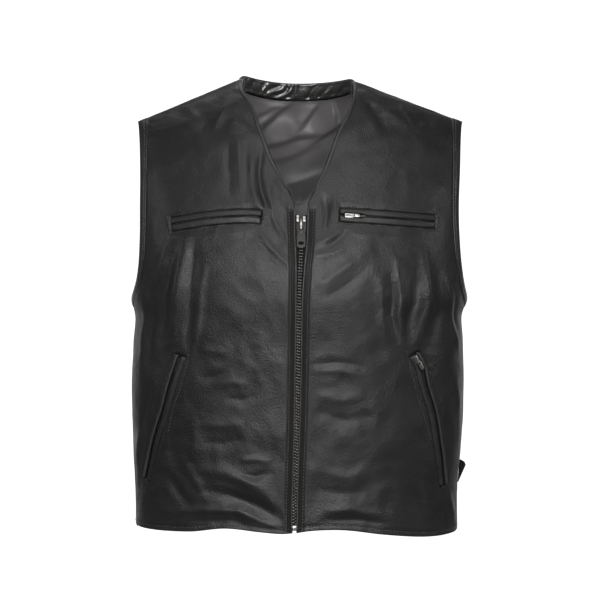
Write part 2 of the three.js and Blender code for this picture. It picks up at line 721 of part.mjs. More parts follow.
// Back panel and lining share this grid, with a column on each neck point.
const NAPE_STEPS = 7;
const BACK_STEPS = { low: ROWS.low, high: ARMHOLE_STEPS, neck: NAPE_STEPS, shoulder: 7 };
const LINING_STEPS = { low: 7, high: 10, neck: 5, shoulder: 4 };
function backGrid({ lowEdge, sideGap, seamInset, topDrop, neckDrop, steps }) {
  const rows = steps.low + steps.high;
  const total = steps.neck + steps.shoulder;
  const halves = ['right', 'left'].map((side) => {
    const sign = side === 'right' ? -1 : 1;
    const seam = armholeSeam(side, 'back');
    const armhole = seamInset ? inset(seam, sign * -seamInset, false) : seam;
    const sideAround = sign * (1 - sideGap / QUARTER_GIRTH);
    const underarm = armhole[0].rise;
    const tip = armhole[armhole.length - 1].around;
    const neckShare = neckPointAround(side) / tip;
    const share = (j) => {
      if (j <= steps.neck) return Math.sin((j / steps.neck) * (Math.PI / 2)) * neckShare;
      return mix(neckShare, 1, (j - steps.neck) / steps.shoulder);
    };
    const topOf = (around) => {
      const shoulder = topRise('back', around) - SEAM / 2 - topDrop;
      const out = halfWidth(0) * section(around).x;
      if (Math.abs(out) > NECK_POINT[side]) return shoulder;
      return Math.min(shoulder, riseOf('back', around, backNeckHeight(out) - neckDrop));
    };
    const underarmHeight = base({ face: 'back', around: sideAround, rise: underarm }).z;
    const levelOf = (around) => riseOf('back', around, underarmHeight);
    const lines = [];
    for (let row = 0; row <= rows; row += 1) {
      const climb = (row - steps.low) / steps.high;
      const end = climb <= 0 ? { around: sideAround, rise: underarm } : along(armhole, climb);
      const endClimb = (end.rise - levelOf(end.around)) / (topOf(end.around) - levelOf(end.around));
      const line = [];
      for (let j = 0; j <= total; j += 1) {
        const around = share(j) * end.around;
        let rise;
        if (climb <= 0) {
          rise = mix(riseOf('back', around, lowEdge), levelOf(around), row / steps.low);
        } else {
          const edgeward = row === rows ? 0 : share(j) ** 2;
          rise = mix(levelOf(around), topOf(around), mix(climb, endClimb, edgeward));
        }
        line.push({ face: 'back', around, rise });
      }
      lines.push(line);
    }
    return lines;
  });
  return halves[0].map((line, i) => [...line.slice(1).reverse(), ...halves[1][i]]);
}

function backPanel() {
  const edges = { lowEdge: -609, sideGap: SEAM / 2, seamInset: 0, topDrop: 0, neckDrop: 0 };
  return wall(backGrid({ ...edges, steps: BACK_STEPS }), -LEATHER, 0);
}

function backLining() {
  const edges = { lowEdge: -586, sideGap: 4, seamInset: 3, topDrop: 5, neckDrop: 8 };
  const grid = backGrid({ ...edges, steps: LINING_STEPS });
  const rows = grid.length - 1;
  const columns = grid[0].length - 1;
  const layer = (thick) => grid.map((row, i) => row.map((place, j) => {
    const fromTop = Math.min(rows - i, 2);
    const fromSide = Math.min(j, columns - j, 2);
    const hang = Math.min(LINING_HANG.top[fromTop], LINING_HANG.side[fromSide]);
    const point = base(place);
    const fold = foldLift(LINING_FOLDS, 'back', place.around * QUARTER_GIRTH, point.z);
    const out = -LEATHER - hang + (fromTop > 0 ? fold : 0) - thick;
    return point.addScaledVector(slopes(place, base).normal, out);
  }));
  return solid(layer(0), layer(LINING));
}

// The collar stands inside the neck's edge, from one end of the V round the nape to the other.
function collarBand() {
  const knots = [];
  for (const side of ['right', 'left']) {
    const sign = side === 'right' ? -1 : 1;
    const tip = COLLAR_TIP[side];
    const front = base(along(neckLine(side), 1 - 0.55 / NECK_STEPS));
    const half = [{ point: front, low: COLLAR.front.low, high: COLLAR.front.high }];
    for (let i = 0; i <= NAPE_STEPS; i += 1) {
      const share = i / NAPE_STEPS;
      const around = neckPointAround(side) * Math.cos((share * Math.PI) / 2);
      const out = halfWidth(0) * section(around).x;
      const edge = spot('back', around, backNeckHeight(out));
      const level = smooth(share);
      half.push({
        point: i === 0 ? base({ face: 'front', around, rise: topRise('front', around) }) : base(edge),
        low: mix(tip.low, COLLAR.nape.low, level),
        high: mix(tip.high, COLLAR.nape.high, level),
      });
    }
    if (sign < 0) knots.push(...half.slice(0, -1));
    else knots.push(...half.reverse());
  }
  const wallAt = (inward) => knots.map((knot, i) => {
    const before = knots[Math.max(0, i - 1)].point;
    const after = knots[Math.min(knots.length - 1, i + 1)].point;
    const across = new THREE.Vector2(after.x - before.x, after.y - before.y).normalize();
    const step = new THREE.Vector3(across.y, -across.x, 0);
    return [knot.low, mix(knot.low, knot.high, 0.5), knot.high].map((height) => {
      const leanIn = COLLAR_LEAN * (height - Math.min(knot.point.z, knot.high));
      const point = new THREE.Vector3(knot.point.x, knot.point.y, height);
      return point.addScaledVector(step, inward + Math.max(leanIn, -2));
    });
  });
  return solid(wallAt(COLLAR.gap), wallAt(COLLAR.gap + COLLAR.thick));
}

// A strip of the zip between two distances from its middle line.
function zipStrip(from, to, { low, high, bottom, top }) {
  const rows = Math.ceil((top - bottom) / ZIP_ROW);
  const grid = span(rows).map((t) => {
    const height = mix(bottom, top, t);
    return [from, to].map((off) => spot('front', aroundOf(zipMiddle(height) + off, height), height));
  });
  return wall(grid, low, high);
}

// Local axes at a spot on the leather. Y points upward over the cloth, Z out of it, and X to their right.
function seat(place, upward) {
  const { normal } = slopes(place, folded);
  const right = upward.clone().cross(normal).normalize();
  const up = normal.clone().cross(right).normalize();
  return new THREE.Matrix4().makeBasis(right, up, normal).setPosition(folded(place));
}

// A flat plate with its outline in the plane of the leather, between two levels.
function plate(outline, low, high, holes = []) {
  const shape = new THREE.Shape(outline.map(([x, y]) => new THREE.Vector2(x, y)));
  for (const hole of holes) shape.holes.push(new THREE.Path(hole.map(([x, y]) => new THREE.Vector2(x, y))));
  const geometry = new THREE.ExtrudeGeometry(shape, { depth: high - low, bevelEnabled: false });
  return geometry.translate(0, 0, low);
}

const box = (half, down, up) => [[-half, down], [half, down], [half, up], [-half, up]];
const chamfered = (half, down, up, cut) => [
  [-half + cut, down], [half - cut, down], [half, down + cut], [half, up - cut],
  [half - cut, up], [-half + cut, up], [-half, up - cut], [-half, down + cut],
];

// The bridge over a slider's plate, which carries the pull: its side view pushed across the slider.
function bridge({ half, up, down, inner, outer, wall: leg }, foot) {
  const profile = [
    [down, foot], [down, outer - 1], [down + 0.8, outer], [up * 0.35, outer],
    [up - 1.5, mix(foot, outer, 0.55)], [up, foot], [up - leg * 1.3, foot],
    [up * 0.35, inner], [down + leg + 0.3, inner], [down + leg, inner - 0.4], [down + leg, foot],
  ];
  const shape = new THREE.Shape(profile.map(([lengthwise, out]) => new THREE.Vector2(lengthwise, out)));
  const geometry = new THREE.ExtrudeGeometry(shape, { depth: 2 * half, bevelEnabled: false });
  const turn = new THREE.Matrix4().makeBasis(
    new THREE.Vector3(0, 1, 0),
    new THREE.Vector3(0, 0, 1),
    new THREE.Vector3(1, 0, 0),
  );
  return geometry.translate(0, 0, -half).applyMatrix4(turn);
}

// A pull's tab. Its top edge is the bar that turns in the bridge, and the eye is the hole below the bar.
function pullTab({ top, width, length, eye, pin, slots = [] }) {
  const half = width / 2;
  const bar = pin.thick / 2;
  const outline = [
    [-top / 2, bar], [-half, -eye.length * 1.3], [-half, -length + 1.5], [-half + 1.5, -length],
    [half - 1.5, -length], [half, -length + 1.5], [half, -eye.length * 1.3], [top / 2, bar],
  ];
  const holes = [box(eye.half, -eye.length, -bar), ...slots];
  return plate(outline, pin.level - bar, pin.level + bar, holes);
}

const zipPlace = spot('front', aroundOf(zipMiddle(ZIP_PIVOT), ZIP_PIVOT), ZIP_PIVOT);
const zipSeat = seat(zipPlace, new THREE.Vector3(0, 0, 1));

function zipSlider() {
  const { plate: top, backPlate, post, arch } = ZIP_SLIDER;
  const outline = [
    [-top.foot, top.down], [top.foot, top.down], [top.half, top.down + 9], [top.half, top.up - 4],
    [top.half - 3, top.up], [-top.half + 3, top.up], [-top.half, top.up - 4], [-top.half, top.down + 9],
  ];
  return joined([
    plate(outline, top.low, top.high),
    plate(outline, backPlate.low, backPlate.high),
    plate(box(post.half, post.down, post.up), backPlate.high - 0.2, top.low + 0.2),
    bridge(arch, top.high - 0.2),
  ]);
}

function zipPull() {
  const { slot } = ZIP_PULL;
  return pullTab({ ...ZIP_PULL, pin: ZIP_SLIDER.pin, slots: [box(slot.half, -slot.to, -slot.from)] });
}

// A pocket's slot as points and sideways directions on the flat of the panel.
function slotLine(pocket) {
  const knots = pocket.slot.map(([round, height]) => new THREE.Vector3(round, height, 0));
  const curve = new THREE.CatmullRomCurve3(knots, false, 'centripetal');
  const length = curve.getLength();
  const towardFirst = pocket.side === 'right' ? -1 : 1;
  return {
    length,
    // The spot so far along the slot and so far to the side of it, plus towards the first lip.
    spot(distance, aside) {
      const share = Math.min(1, Math.max(0, distance / length));
      const point = curve.getPointAt(share);
      const tangent = curve.getTangentAt(share);
      const over = distance - share * length;
      const round = point.x + tangent.x * over - tangent.y * aside * towardFirst;
      const height = point.y + tangent.y * over + tangent.x * aside * towardFirst;
      return spot('front', round / QUARTER_GIRTH, height);
    },
  };
}

function slotHalf(pocket, distance) {
  if (!pocket.gape) return SLOT_HALF;
  const from = pocket.pivot - 13;
  const to = pocket.pivot + pocket.pull.length + 2;
  const open = smooth((distance - from) / 4) * (1 - smooth((distance - to) / 7));
  return mix(SLOT_HALF, pocket.gape, open);
}

function slotSteps(pocket, from, to) {
  const steps = new Set(span(POCKET_STEPS).map((t) => mix(from, to, t)));
  if (pocket.gape) for (const step of [4, 8, 20, 26, 32, 38]) steps.add(step);
  return [...steps].sort((a, b) => a - b);
}

function slotStrip(pocket, { from, to, asides, low, high }) {
  const line = slotLine(pocket);
  const row = (distance) => asides(distance).map((aside) => line.spot(distance, aside));
  return wall(slotSteps(pocket, from, to).map(row), low, high);
}

function pocketPieces(pocket) {
  const line = slotLine(pocket);
  const [[firstName, first], [secondName, second]] = Object.entries(pocket.lips);
  const lip = (name, width) => {
    const asides = (distance) => {
      const half = Math.sign(width) * slotHalf(pocket, distance);
      return [half, mix(half, width, 0.5), width];
    };
    const strip = slotStrip(pocket, { from: 0, to: line.length, asides, ...LIP });
    piece(`${pocket.name}_lip_${name}`, strip, 'trim');
  };
  lip(firstName, first);
  lip(secondName, -second);
  const { overlap, low, high } = POCKET_TAPE;
  const edges = span(4).map((t) => mix(-second - overlap, first + overlap, t));
  const tape = { from: -overlap, to: line.length + overlap, asides: () => edges, low, high };
  piece(`${pocket.name}_zip`, slotStrip(pocket, tape), 'tape');
  const place = line.spot(pocket.pivot, 0);
  const ahead = base(line.spot(pocket.pivot + 1, 0));
  const frame = seat(place, base(place).sub(ahead).normalize());
  const { plate: body, arch, pin } = POCKET_SLIDER;
  const bodyPlate = plate(chamfered(body.half, body.down, body.up, 0.8), body.low, body.high);
  const showing = pocket.gape > 0;
  const slider = showing ? joined([bodyPlate, bridge(arch, body.high - 0.2)]) : bodyPlate;
  piece(`${pocket.name}_slider`, slider.applyMatrix4(frame), 'nickel');
  const { width, length } = pocket.pull;
  const pull = showing
    ? pullTab({ top: width, width, length, eye: POCKET_EYE, pin })
    : plate(chamfered(width / 2, -length, body.down - 0.5, 0.8), body.low, body.high);
  piece(`${pocket.name}_pull`, pull.applyMatrix4(frame), 'gunmetal');
}

function pocketWindow(pocket) {
  const line = slotLine(pocket);
  const [first, second] = Object.values(pocket.lips);
  const edges = span(3).map((t) => mix(-second - WINDOW_GAP, first + WINDOW_GAP, t));
  const size = { from: -WINDOW_GAP, to: line.length + WINDOW_GAP, asides: () => edges };
  return slotStrip(pocket, { ...size, low: -7, high: 7 });
}

function sideTab() {
  const { top, bottom, peak, reach, thick, gap } = SIDE_TAB;
  const root = (height) => at(spot('front', 1, height), gap).x;
  const outline = [
    [root(bottom), bottom], [root(bottom) + 1.2, bottom], [root(peak) + reach, peak - 2.5],
    [root(peak) + reach - 2, peak + 2], [root(top) + 2, top], [root(top), top], [root(peak - 12), peak - 12],
  ];
  const shape = new THREE.Shape(outline.map(([x, z]) => new THREE.Vector2(x, z)));
  const geometry = new THREE.ExtrudeGeometry(shape, { depth: thick, bevelEnabled: false });
  return geometry.rotateX(Math.PI / 2).translate(0, thick / 2, 0);
}

for (const side of ['right', 'left']) {
  const windows = POCKETS.filter((pocket) => pocket.side === side).map(pocketWindow);
  piece(`front_${side}`, windows.reduce(cut, frontPanel(side)), 'leather');
  piece(`armhole_band_${side}`, armholeBand(side), 'trim');
  piece(`neck_edge_${side}`, neckEdge(side), 'trim');
}
piece('back', backPanel(), 'leather');
piece('back_lining', backLining(), 'satin');
piece('collar_band', collarBand(), 'trim');
piece('zip_tape_right', zipStrip(-ZIP_TAPE.outer, -ZIP_TAPE.inner, ZIP_TAPE), 'tape');
piece('zip_tape_left', zipStrip(ZIP_TAPE.inner, ZIP_TAPE.outer, ZIP_TAPE), 'tape');
piece('zip_teeth', zipStrip(-ZIP_TEETH.half, ZIP_TEETH.half, ZIP_TEETH), 'gunmetal');
piece('zip_stop', zipStrip(-ZIP_STOP.half, ZIP_STOP.half, ZIP_STOP), 'nickel');
piece('zip_slider', zipSlider().applyMatrix4(zipSeat), 'nickel');
piece('zip_pull', zipPull().applyMatrix4(zipSeat), 'gunmetal');
POCKETS.forEach(pocketPieces);
piece('side_tab', sideTab(), 'trim');

export default vest;
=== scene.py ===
"""Leather vest, zipped and filled out: its leather, lining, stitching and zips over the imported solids."""

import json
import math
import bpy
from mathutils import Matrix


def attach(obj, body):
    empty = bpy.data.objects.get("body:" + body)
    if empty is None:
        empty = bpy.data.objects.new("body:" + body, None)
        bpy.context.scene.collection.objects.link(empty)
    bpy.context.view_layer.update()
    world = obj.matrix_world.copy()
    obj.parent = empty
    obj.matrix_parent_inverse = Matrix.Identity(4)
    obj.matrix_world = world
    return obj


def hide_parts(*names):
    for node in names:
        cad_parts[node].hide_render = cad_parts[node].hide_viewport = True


bl_info = {
    "name": "Leather Vest",
    "version": (1, 0, 0),
    "blender": (4, 5, 0),
    "location": "3D View > Sidebar > Vest",
    "description": "Builds a filled-out leather vest with its stitching, lining and zips",
    "category": "Add Mesh",
}

import bmesh
import bpy
import numpy as np
from bpy.props import FloatProperty, FloatVectorProperty, IntProperty, PointerProperty
from mathutils import Vector

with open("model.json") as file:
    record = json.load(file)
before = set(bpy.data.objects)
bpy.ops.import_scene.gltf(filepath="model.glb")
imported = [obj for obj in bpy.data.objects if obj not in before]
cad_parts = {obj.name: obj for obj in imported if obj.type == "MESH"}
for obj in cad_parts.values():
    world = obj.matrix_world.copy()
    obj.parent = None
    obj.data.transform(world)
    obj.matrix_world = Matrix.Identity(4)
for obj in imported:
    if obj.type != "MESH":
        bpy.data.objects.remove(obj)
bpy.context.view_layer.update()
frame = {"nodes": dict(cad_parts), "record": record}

# The vest's form, in millimetres. It repeats the solids' tables, so the cloth lies on them.
MM = 0.001
FRONT = -1
BACK = 1
LEATHER = 2.2
SEAM = -0.8  # below 0, because cloth that is sewn together leaves no gap to see through
BAND_SEAM = -0.5
GIRTH = 297.0  # a quarter of the way round
BODY_POWER = 2.5
SECTION_ASPECT = 0.5
SHOULDER_TIP = 232.5
SHOULDER_TIP_HEIGHT = -31.5
SHOULDER_SLOPE = {-1: 0.42, 1: 0.38}
NECK_POINT = {-1: 91.0, 1: 83.0}
SHOULDER_BLEND = 45.0
CROWN = {FRONT: 6.0, BACK: 30.0}
SHOULDER_REACH = 290.0
SHOULDER_REACH_TAPER = 0.5
ARMHOLE_BAND = 12.5
BAND_STITCH = 9.2  # from the armhole's edge to the row of stitches on its band
COLLAR_HEIGHT = 24.0
NAPE_SEAM = 13.0
MIDDLE_HEIGHT = -302.0
SIDES = {"right": -1, "left": 1}

# height, half width, depth in front, depth behind, lean to the wearer's left
SECTIONS = [
    (-625, 229, 121, 111, -1.5),
    (-550, 230, 120, 107, -2.5),
    (-500, 233.5, 121, 104, -1.5),
    (-450, 236, 122, 102, -0.5),
    (-400, 237, 123, 102, -0.5),
    (-345, 235, 125, 104, 0.5),
    (-310, 233, 127, 106, 0.5),
    (-283, 239.5, 128, 108, 2),
    (-250, 240, 127, 110, 3),
    (-205, 241, 122, 112, 2.5),
    (-155, 242, 115, 114, 2),
    (-100, 243, 108, 116, 3),
    (-31, 243, 100, 118, 3),
    (40, 244, 92, 120, 3),
]

# share of the quarter girth, height
ARMHOLE = [
    (1, -284),
    (0.935, -281.5),
    (0.87, -268),
    (0.827, -240),
    (0.803, -200),
    (0.795, -150),
    (0.801, -85),
]

# distance from x = 0, height
NECKLINE = {
    -1: [
        (-4.2, -153),
        (-14.6, -134),
        (-28.6, -113),
        (-41, -90),
        (-52, -62),
        (-62, -34),
        (-71, -12),
        (-82, 7),
    ],
    1: [
        (13.8, -153),
        (29, -126),
        (39, -108),
        (48, -87),
        (55.5, -65),
        (64.5, -43),
        (73.5, -27),
        (81, -9),
        (84, 5),
    ],
}

# height, the zip's middle, half of the gap between the folded edges
ZIP_LINE = [
    (-625, -4.9, 2.4),
    (-577, -4.7, 2.8),
    (-535, -3.7, 2.6),
    (-452, -1, 3),
    (-380, 0.2, 3.3),
    (-286, 1.7, 3.6),
    (-240, 3.4, 5.2),
    (-217, 4.2, 6.6),
    (-200, 4.4, 7.7),
    (-175, 4.6, 8.2),
    (-153, 4.8, 9),
]

# millimetres round from the middle, height of the lower edge
FRONT_HEM = [
    (-297, -603),
    (-230, -608),
    (-156, -609),
    (-103, -604),
    (-50, -609),
    (-17, -611),
    (23, -606),
    (69, -605.5),
    (128, -612.5),
    (190, -617),
    (247, -615),
    (297, -609),
]

# face, line across the leather as (round, height), half width, lift out of the leather
FOLDS = [
    (FRONT, [(-134, -242), (-140, -293), (-147, -335), (-152, -358)], 6, 2.4),
    (FRONT, [(-146, -216), (-152, -286), (-157, -328), (-158, -356)], 7, -3.6),
    (FRONT, [(-158, -202), (-171, -251), (-181, -307), (-185, -345)], 10, 4.4),
    (FRONT, [(-179, -227), (-191, -286), (-202, -339)], 9, -3.6),
    (FRONT, [(-182, -206), (-201, -241), (-211, -275)], 9, 2.8),
    (FRONT, [(-208, -265), (-220, -328), (-220, -373)], 8, -2.6),
    (FRONT, [(-229, -280), (-236, -342), (-236, -399)], 9, 2.4),
    (FRONT, [(110, -258), (118, -300), (126, -342)], 7, 2.2),
    (FRONT, [(124, -253), (131, -300), (139, -342)], 6, -2.6),
    (FRONT, [(135, -233), (143, -293), (150, -349)], 6, 3.2),
    (FRONT, [(160, -233), (162, -293), (156, -344)], 7, -3.8),
    (FRONT, [(173, -216), (181, -262), (187, -303), (171, -345)], 7, 4),
    (FRONT, [(195, -233), (207, -300), (193, -349)], 8, -2.2),
    (FRONT, [(213, -261), (235, -321), (251, -360)], 6, 2.6),
    (FRONT, [(-144, -523), (-102, -526), (-73, -536), (-49, -552), (-29, -570)], 9, 2.8),
    (FRONT, [(-142, -551), (-102, -556), (-73, -565), (-49, -576), (-24, -587)], 8, -3.6),
    (FRONT, [(-83, -528), (-59, -532), (-38, -526)], 5, -2),
    (FRONT, [(-162, -512), (-146, -537), (-133, -560)], 7, 2.2),
    (FRONT, [(-190, -529), (-171, -557), (-155, -574)], 8, -3.2),
    (FRONT, [(-170, -580), (-125, -578), (-84, -579), (-58, -590), (-30, -601)], 5, 2.2),
    (FRONT, [(-173, -453), (-180, -496), (-175, -534)], 10, -2.2),
    (FRONT, [(-52, -76), (-56, -107), (-53, -130), (-43, -161), (-19, -203)], 3.6, -2.8),
    (FRONT, [(84, 15), (116, -14), (151, -42)], 7, 2.4),
    (FRONT, [(91, -1), (105, -22), (120, -47)], 7, -2),
    (FRONT, [(203, -558), (218, -584), (226, -604)], 9, -3),
    (FRONT, [(231, -551), (248, -580), (260, -603)], 7, 2.2),
    (FRONT, [(-238, -452), (-250, -501), (-256, -541)], 7, 2),
    (BACK, [(-204, -250), (-130, -318), (-60, -346)], 17, -4),
    (BACK, [(214, -244), (150, -300), (84, -340)], 16, -4),
    (BACK, [(-170, -110), (-150, -190), (-158, -260)], 15, 3),
    (BACK, [(168, -100), (150, -176), (160, -250)], 15, 3),
    (BACK, [(-150, -410), (-40, -432), (90, -420)], 16, -3.4),
    (BACK, [(-110, -470), (20, -486), (150, -462)], 17, 3),
    (BACK, [(-190, -560), (-96, -584)], 13, -3),
    (BACK, [(110, -548), (196, -582)], 13, -3),
]

# Smaller creases that only the leather itself shows, in the same terms.
CREASES = [
    (FRONT, [(229, -280), (252, -328)], 4, -1.6),
    (FRONT, [(-80, -509), (-58, -507), (-35, -512)], 5, 1.6),
    (FRONT, [(-155, -594), (-88, -593), (-64, -602)], 5, -1.8),
    (FRONT, [(-135, -459), (-106, -461), (-75, -458)], 8, 1.6),
    (FRONT, [(-135, -484), (-106, -486), (-72, -478)], 8, -1.8),
    (FRONT, [(-141, -354), (-118, -357), (-92, -361)], 8, 1.6),
    (FRONT, [(-143, -394), (-120, -394), (-94, -385)], 8, -1.8),
    (FRONT, [(-119, -404), (-91, -400), (-63, -405)], 6, 1.3),
    (FRONT, [(-100, -423), (-77, -425), (-58, -419)], 6, -1.6),
    (FRONT, [(-149, -431), (-146, -481), (-153, -512)], 10, 1.6),
    (FRONT, [(-66, -79), (-67, -113), (-62, -141), (-46, -178)], 6, 1.8),
    (FRONT, [(-38, -113), (-29, -147), (-17, -166)], 5, 1.4),
    (FRONT, [(-98, -62), (-98, -102), (-94, -147)], 6, -1.3),
    (FRONT, [(-85, -56), (-83, -97), (-79, -141)], 5, 1.2),
    (FRONT, [(-74, -62), (-74, -90), (-71, -116)], 4, -1),
    (FRONT, [(18, -211), (39, -201), (58, -187)], 3.4, 1.7),
    (FRONT, [(36, -214), (52, -203), (66, -189)], 3.2, -1.7),
    (FRONT, [(22, -225), (44, -222), (63, -211)], 4, 1.2),
    (FRONT, [(25, -267), (65, -239), (101, -211)], 8, 1.5),
    (FRONT, [(28, -286), (63, -267), (96, -239)], 7, -1.3),
    (FRONT, [(30, -136), (38, -164), (33, -194)], 4, -1.8),
    (FRONT, [(44, -136), (51, -161), (55, -178)], 4, 1.5),
    (FRONT, [(-68, -192), (-44, -219), (-14, -250)], 3.4, -1.3),
    (FRONT, [(-60, -190), (-33, -220), (-8, -242)], 3.4, 1.1),
    (FRONT, [(139, -11), (152, -28), (162, -47)], 5, 1.8),
    (FRONT, [(170, -22), (186, -42)], 6, -1.3),
    (FRONT, [(-93, 9), (-108, -21), (-120, -48)], 7, 1.8),
    (FRONT, [(-108, 2), (-127, -29), (-139, -52)], 8, -1.5),
    (FRONT, [(-142, -20), (-159, -43)], 7, 1.4),
    (FRONT, [(19, -375), (56, -372), (92, -378)], 4, -1.2),
    (FRONT, [(20, -386), (56, -384), (89, -391)], 5, 1),
    (FRONT, [(28, -419), (62, -425), (95, -419)], 8, 1.2),
    (FRONT, [(23, -441), (65, -452), (110, -447)], 9, -1.4),
    (FRONT, [(28, -522), (71, -533), (107, -522)], 9, 1.4),
    (FRONT, [(25, -547), (68, -555), (112, -550)], 8, -1.5),
    (FRONT, [(37, -580), (80, -577), (127, -586)], 6, 1.6),
    (FRONT, [(36, -593), (85, -591), (135, -598)], 5, -1.5),
    (FRONT, [(180, -523), (192, -563), (199, -597)], 9, 1.6),
    (FRONT, [(-216, -404), (-230, -444), (-245, -478)], 7, -1.8),
    (FRONT, [(241, -393), (252, -441), (258, -498)], 8, 1.8),
    (FRONT, [(222, -382), (231, -421)], 7, -1.6),
    (FRONT, [(-193, -197), (-159, -200), (-120, -197), (-68, -190)], 4, 1.2),
    (FRONT, [(62, -192), (110, -197), (186, -202)], 4, 1.2),
    (BACK, [(-150, -60), (-120, -130), (-128, -200)], 8, -1.3),
    (BACK, [(140, -56), (116, -130), (126, -210)], 8, -1.3),
    (BACK, [(-190, -300), (-110, -356), (-20, -372)], 10, 1.6),
    (BACK, [(196, -296), (120, -350), (40, -372)], 10, 1.6),
    (BACK, [(-210, -400), (-140, -450), (-60, -462)], 9, -1.4),
    (BACK, [(206, -404), (140, -440), (60, -456)], 9, -1.4),
    (BACK, [(-120, -520), (0, -540), (120, -520)], 11, 1.4),
    (BACK, [(-230, -500), (-190, -560)], 8, 1.2),
    (BACK, [(232, -500), (196, -556)], 8, 1.2),
    (BACK, [(-60, -20), (0, -34), (60, -20)], 10, -1),
    (BACK, [(-40, -580), (60, -590)], 8, 1.3),
]

LINING_FOLDS = [
    (BACK, [(-60, -130), (60, -96)], 14, -2),
    (BACK, [(-120, -250), (40, -330)], 20, -3),
]

# Steps between the flat patches of the loose lining, in the same terms.
LINING_STEPS = [
    ([(-76, -48), (-54, -29), (-33, -12), (-13, 2)], 2.5, 4.4),
    ([(3, -30), (14, -15), (25, -1)], 1.6, 3.0),
    ([(28, -49), (46, -36), (64, -24)], 1.9, 3.7),
    ([(-54, -61), (-29, -56), (0, -46), (26, -43)], 2.2, 3.0),
    ([(-43, -84), (-17, -78), (20, -62)], 2.2, 1.4),
    ([(-24, -120), (-7, -117), (9, -110)], 1.9, 0.7),
    ([(53, -32), (54, -12), (47, 6)], 1.9, 2.8),
    ([(-71, -15), (-51, -9), (-26, 1)], 1.6, 1.4),
    ([(-150, -230), (-60, -220), (40, -190)], 3.1, 3.9),
    ([(-60, -390), (60, -350), (150, -310)], 3.7, 3.9),
    ([(-170, -480), (-40, -460), (90, -420)], 3.7, 3.9),
]

# Slots run from the slider's end as (round, height). slit is half of the slot's width, and gape is half
# of it round a slider that shows, or 0 where the lips hide the slider.
POCKETS = [
    dict(
        name="chest_pocket_right",
        slot=[(-52, -170.7), (-67, -169), (-95, -169.7), (-123, -172.1), (-151, -175.8), (-180, -180.5)],
        lips=(("upper", 9.0), ("lower", 9.5)),
        side=-1,
        pivot=14,
        slit=0.4,
        rim=0.9,
        gape=0,
        pull=11,
    ),
    dict(
        name="chest_pocket_left",
        slot=[(55, -167.1), (90, -169.2), (124, -171.5), (156, -173.7), (192, -176)],
        lips=(("upper", 9.0), ("lower", 9.5)),
        side=1,
        pivot=17,
        slit=0.4,
        rim=0.9,
        gape=2.7,
        pull=11,
    ),
    dict(
        name="hand_pocket_right",
        slot=[(-168, -362.7), (-180, -399), (-193, -438.5), (-208, -474.4), (-221, -510.8), (-232, -538)],
        lips=(("outer", 9.5), ("inner", 9.5)),
        side=-1,
        pivot=14,
        slit=2.0,
        rim=0.2,
        gape=0,
        pull=13,
    ),
    dict(
        name="hand_pocket_left",
        slot=[(165, -361), (177, -382), (184, -407), (198, -444.6), (211, -490), (221, -524), (227, -546)],
        lips=(("outer", 9.5), ("inner", 9.5)),
        side=1,
        pivot=13,
        slit=2.3,
        rim=0.0,
        gape=3.5,
        pull=13,
    ),
]

# The main slider: where its face is, which ways it faces, and its two raised wings as corners of blocks
SLIDER_SEAT = np.array([4.44, -117.96, -185.48])
SLIDER_RIGHT = np.array([0.9994, -0.0338, 0.0])
SLIDER_UP = np.array([0.0080, 0.2352, 0.9719])
SLIDER_OUT = np.array([-0.0329, -0.9714, 0.2353])
SLIDER_WINGS = (((-6.8, 7.8, 0.3), (-3.0, 17.5, 2.6)), ((2.2, 7.8, 0.3), (6.2, 16.0, 2.4)))

# Rows of topstitching that stand alone on the leather, as (round, height).
POCKET_CURVES = [
    [(-155, -358), (-156, -372), (-160, -389), (-167, -412), (-175, -431), (-186, -468)],
    [(154, -358), (157, -370), (161, -389), (167, -409), (175, -434), (183, -455), (193, -479)],
]


# The form

def column(rows, value):
    """A smooth curve through a table's rows, ready for arrays."""
    keys = np.array([row[0] for row in rows], float)
    values = np.array([row[value] for row in rows], float)
    low = np.maximum(np.arange(len(keys)) - 1, 0)
    high = np.minimum(np.arange(len(keys)) + 1, len(keys) - 1)
    slopes = (values[high] - values[low]) / (keys[high] - keys[low])
    fine = np.linspace(keys[0], keys[-1], 2000)
    i = np.clip(np.searchsorted(keys, fine, "right") - 1, 0, len(keys) - 2)
    step = keys[i + 1] - keys[i]
    t = (fine - keys[i]) / step
    curve = (2 * t**3 - 3 * t**2 + 1) * values[i] + (t**3 - 2 * t**2 + t) * step * slopes[i]
    curve += (3 * t**2 - 2 * t**3) * values[i + 1] + (t**3 - t**2) * step * slopes[i + 1]
    return lambda at: np.interp(at, fine, curve)


half_width = column(SECTIONS, 1)
front_depth = column(SECTIONS, 2)
back_depth = column(SECTIONS, 3)
lean = column(SECTIONS, 4)
zip_middle = column(ZIP_LINE, 1)
zip_half_gap = column(ZIP_LINE, 2)
front_hem = column(FRONT_HEM, 1)

_angle = np.linspace(math.pi / 2, 0, 401)
QUARTER_X = np.maximum(np.cos(_angle), 0) ** (2 / BODY_POWER)
QUARTER_Y = np.maximum(np.sin(_angle), 0) ** (2 / BODY_POWER)
_steps = np.hypot(np.diff(QUARTER_X), SECTION_ASPECT * np.diff(QUARTER_Y))
QUARTER_SHARE = np.concatenate([[0], np.cumsum(_steps)]) / _steps.sum()


def smooth(t):
    x = np.clip(t, 0, 1)
    return x * x * (3 - 2 * x)


def mix(a, b, t):
    return a + (b - a) * t


def unit(vectors):
    return vectors / np.linalg.norm(vectors, axis=-1, keepdims=True)


def section(around):
    """The unit section at a share of the quarter girth, past 1 on the far side of the side seam."""
    share = np.abs(around)
    facing = np.where(share > 1, -1.0, 1.0)
    share = np.where(share > 1, 2 - share, share)
    x = np.interp(share, QUARTER_SHARE, QUARTER_X)
    return np.sign(around) * x, facing * np.interp(share, QUARTER_SHARE, QUARTER_Y)


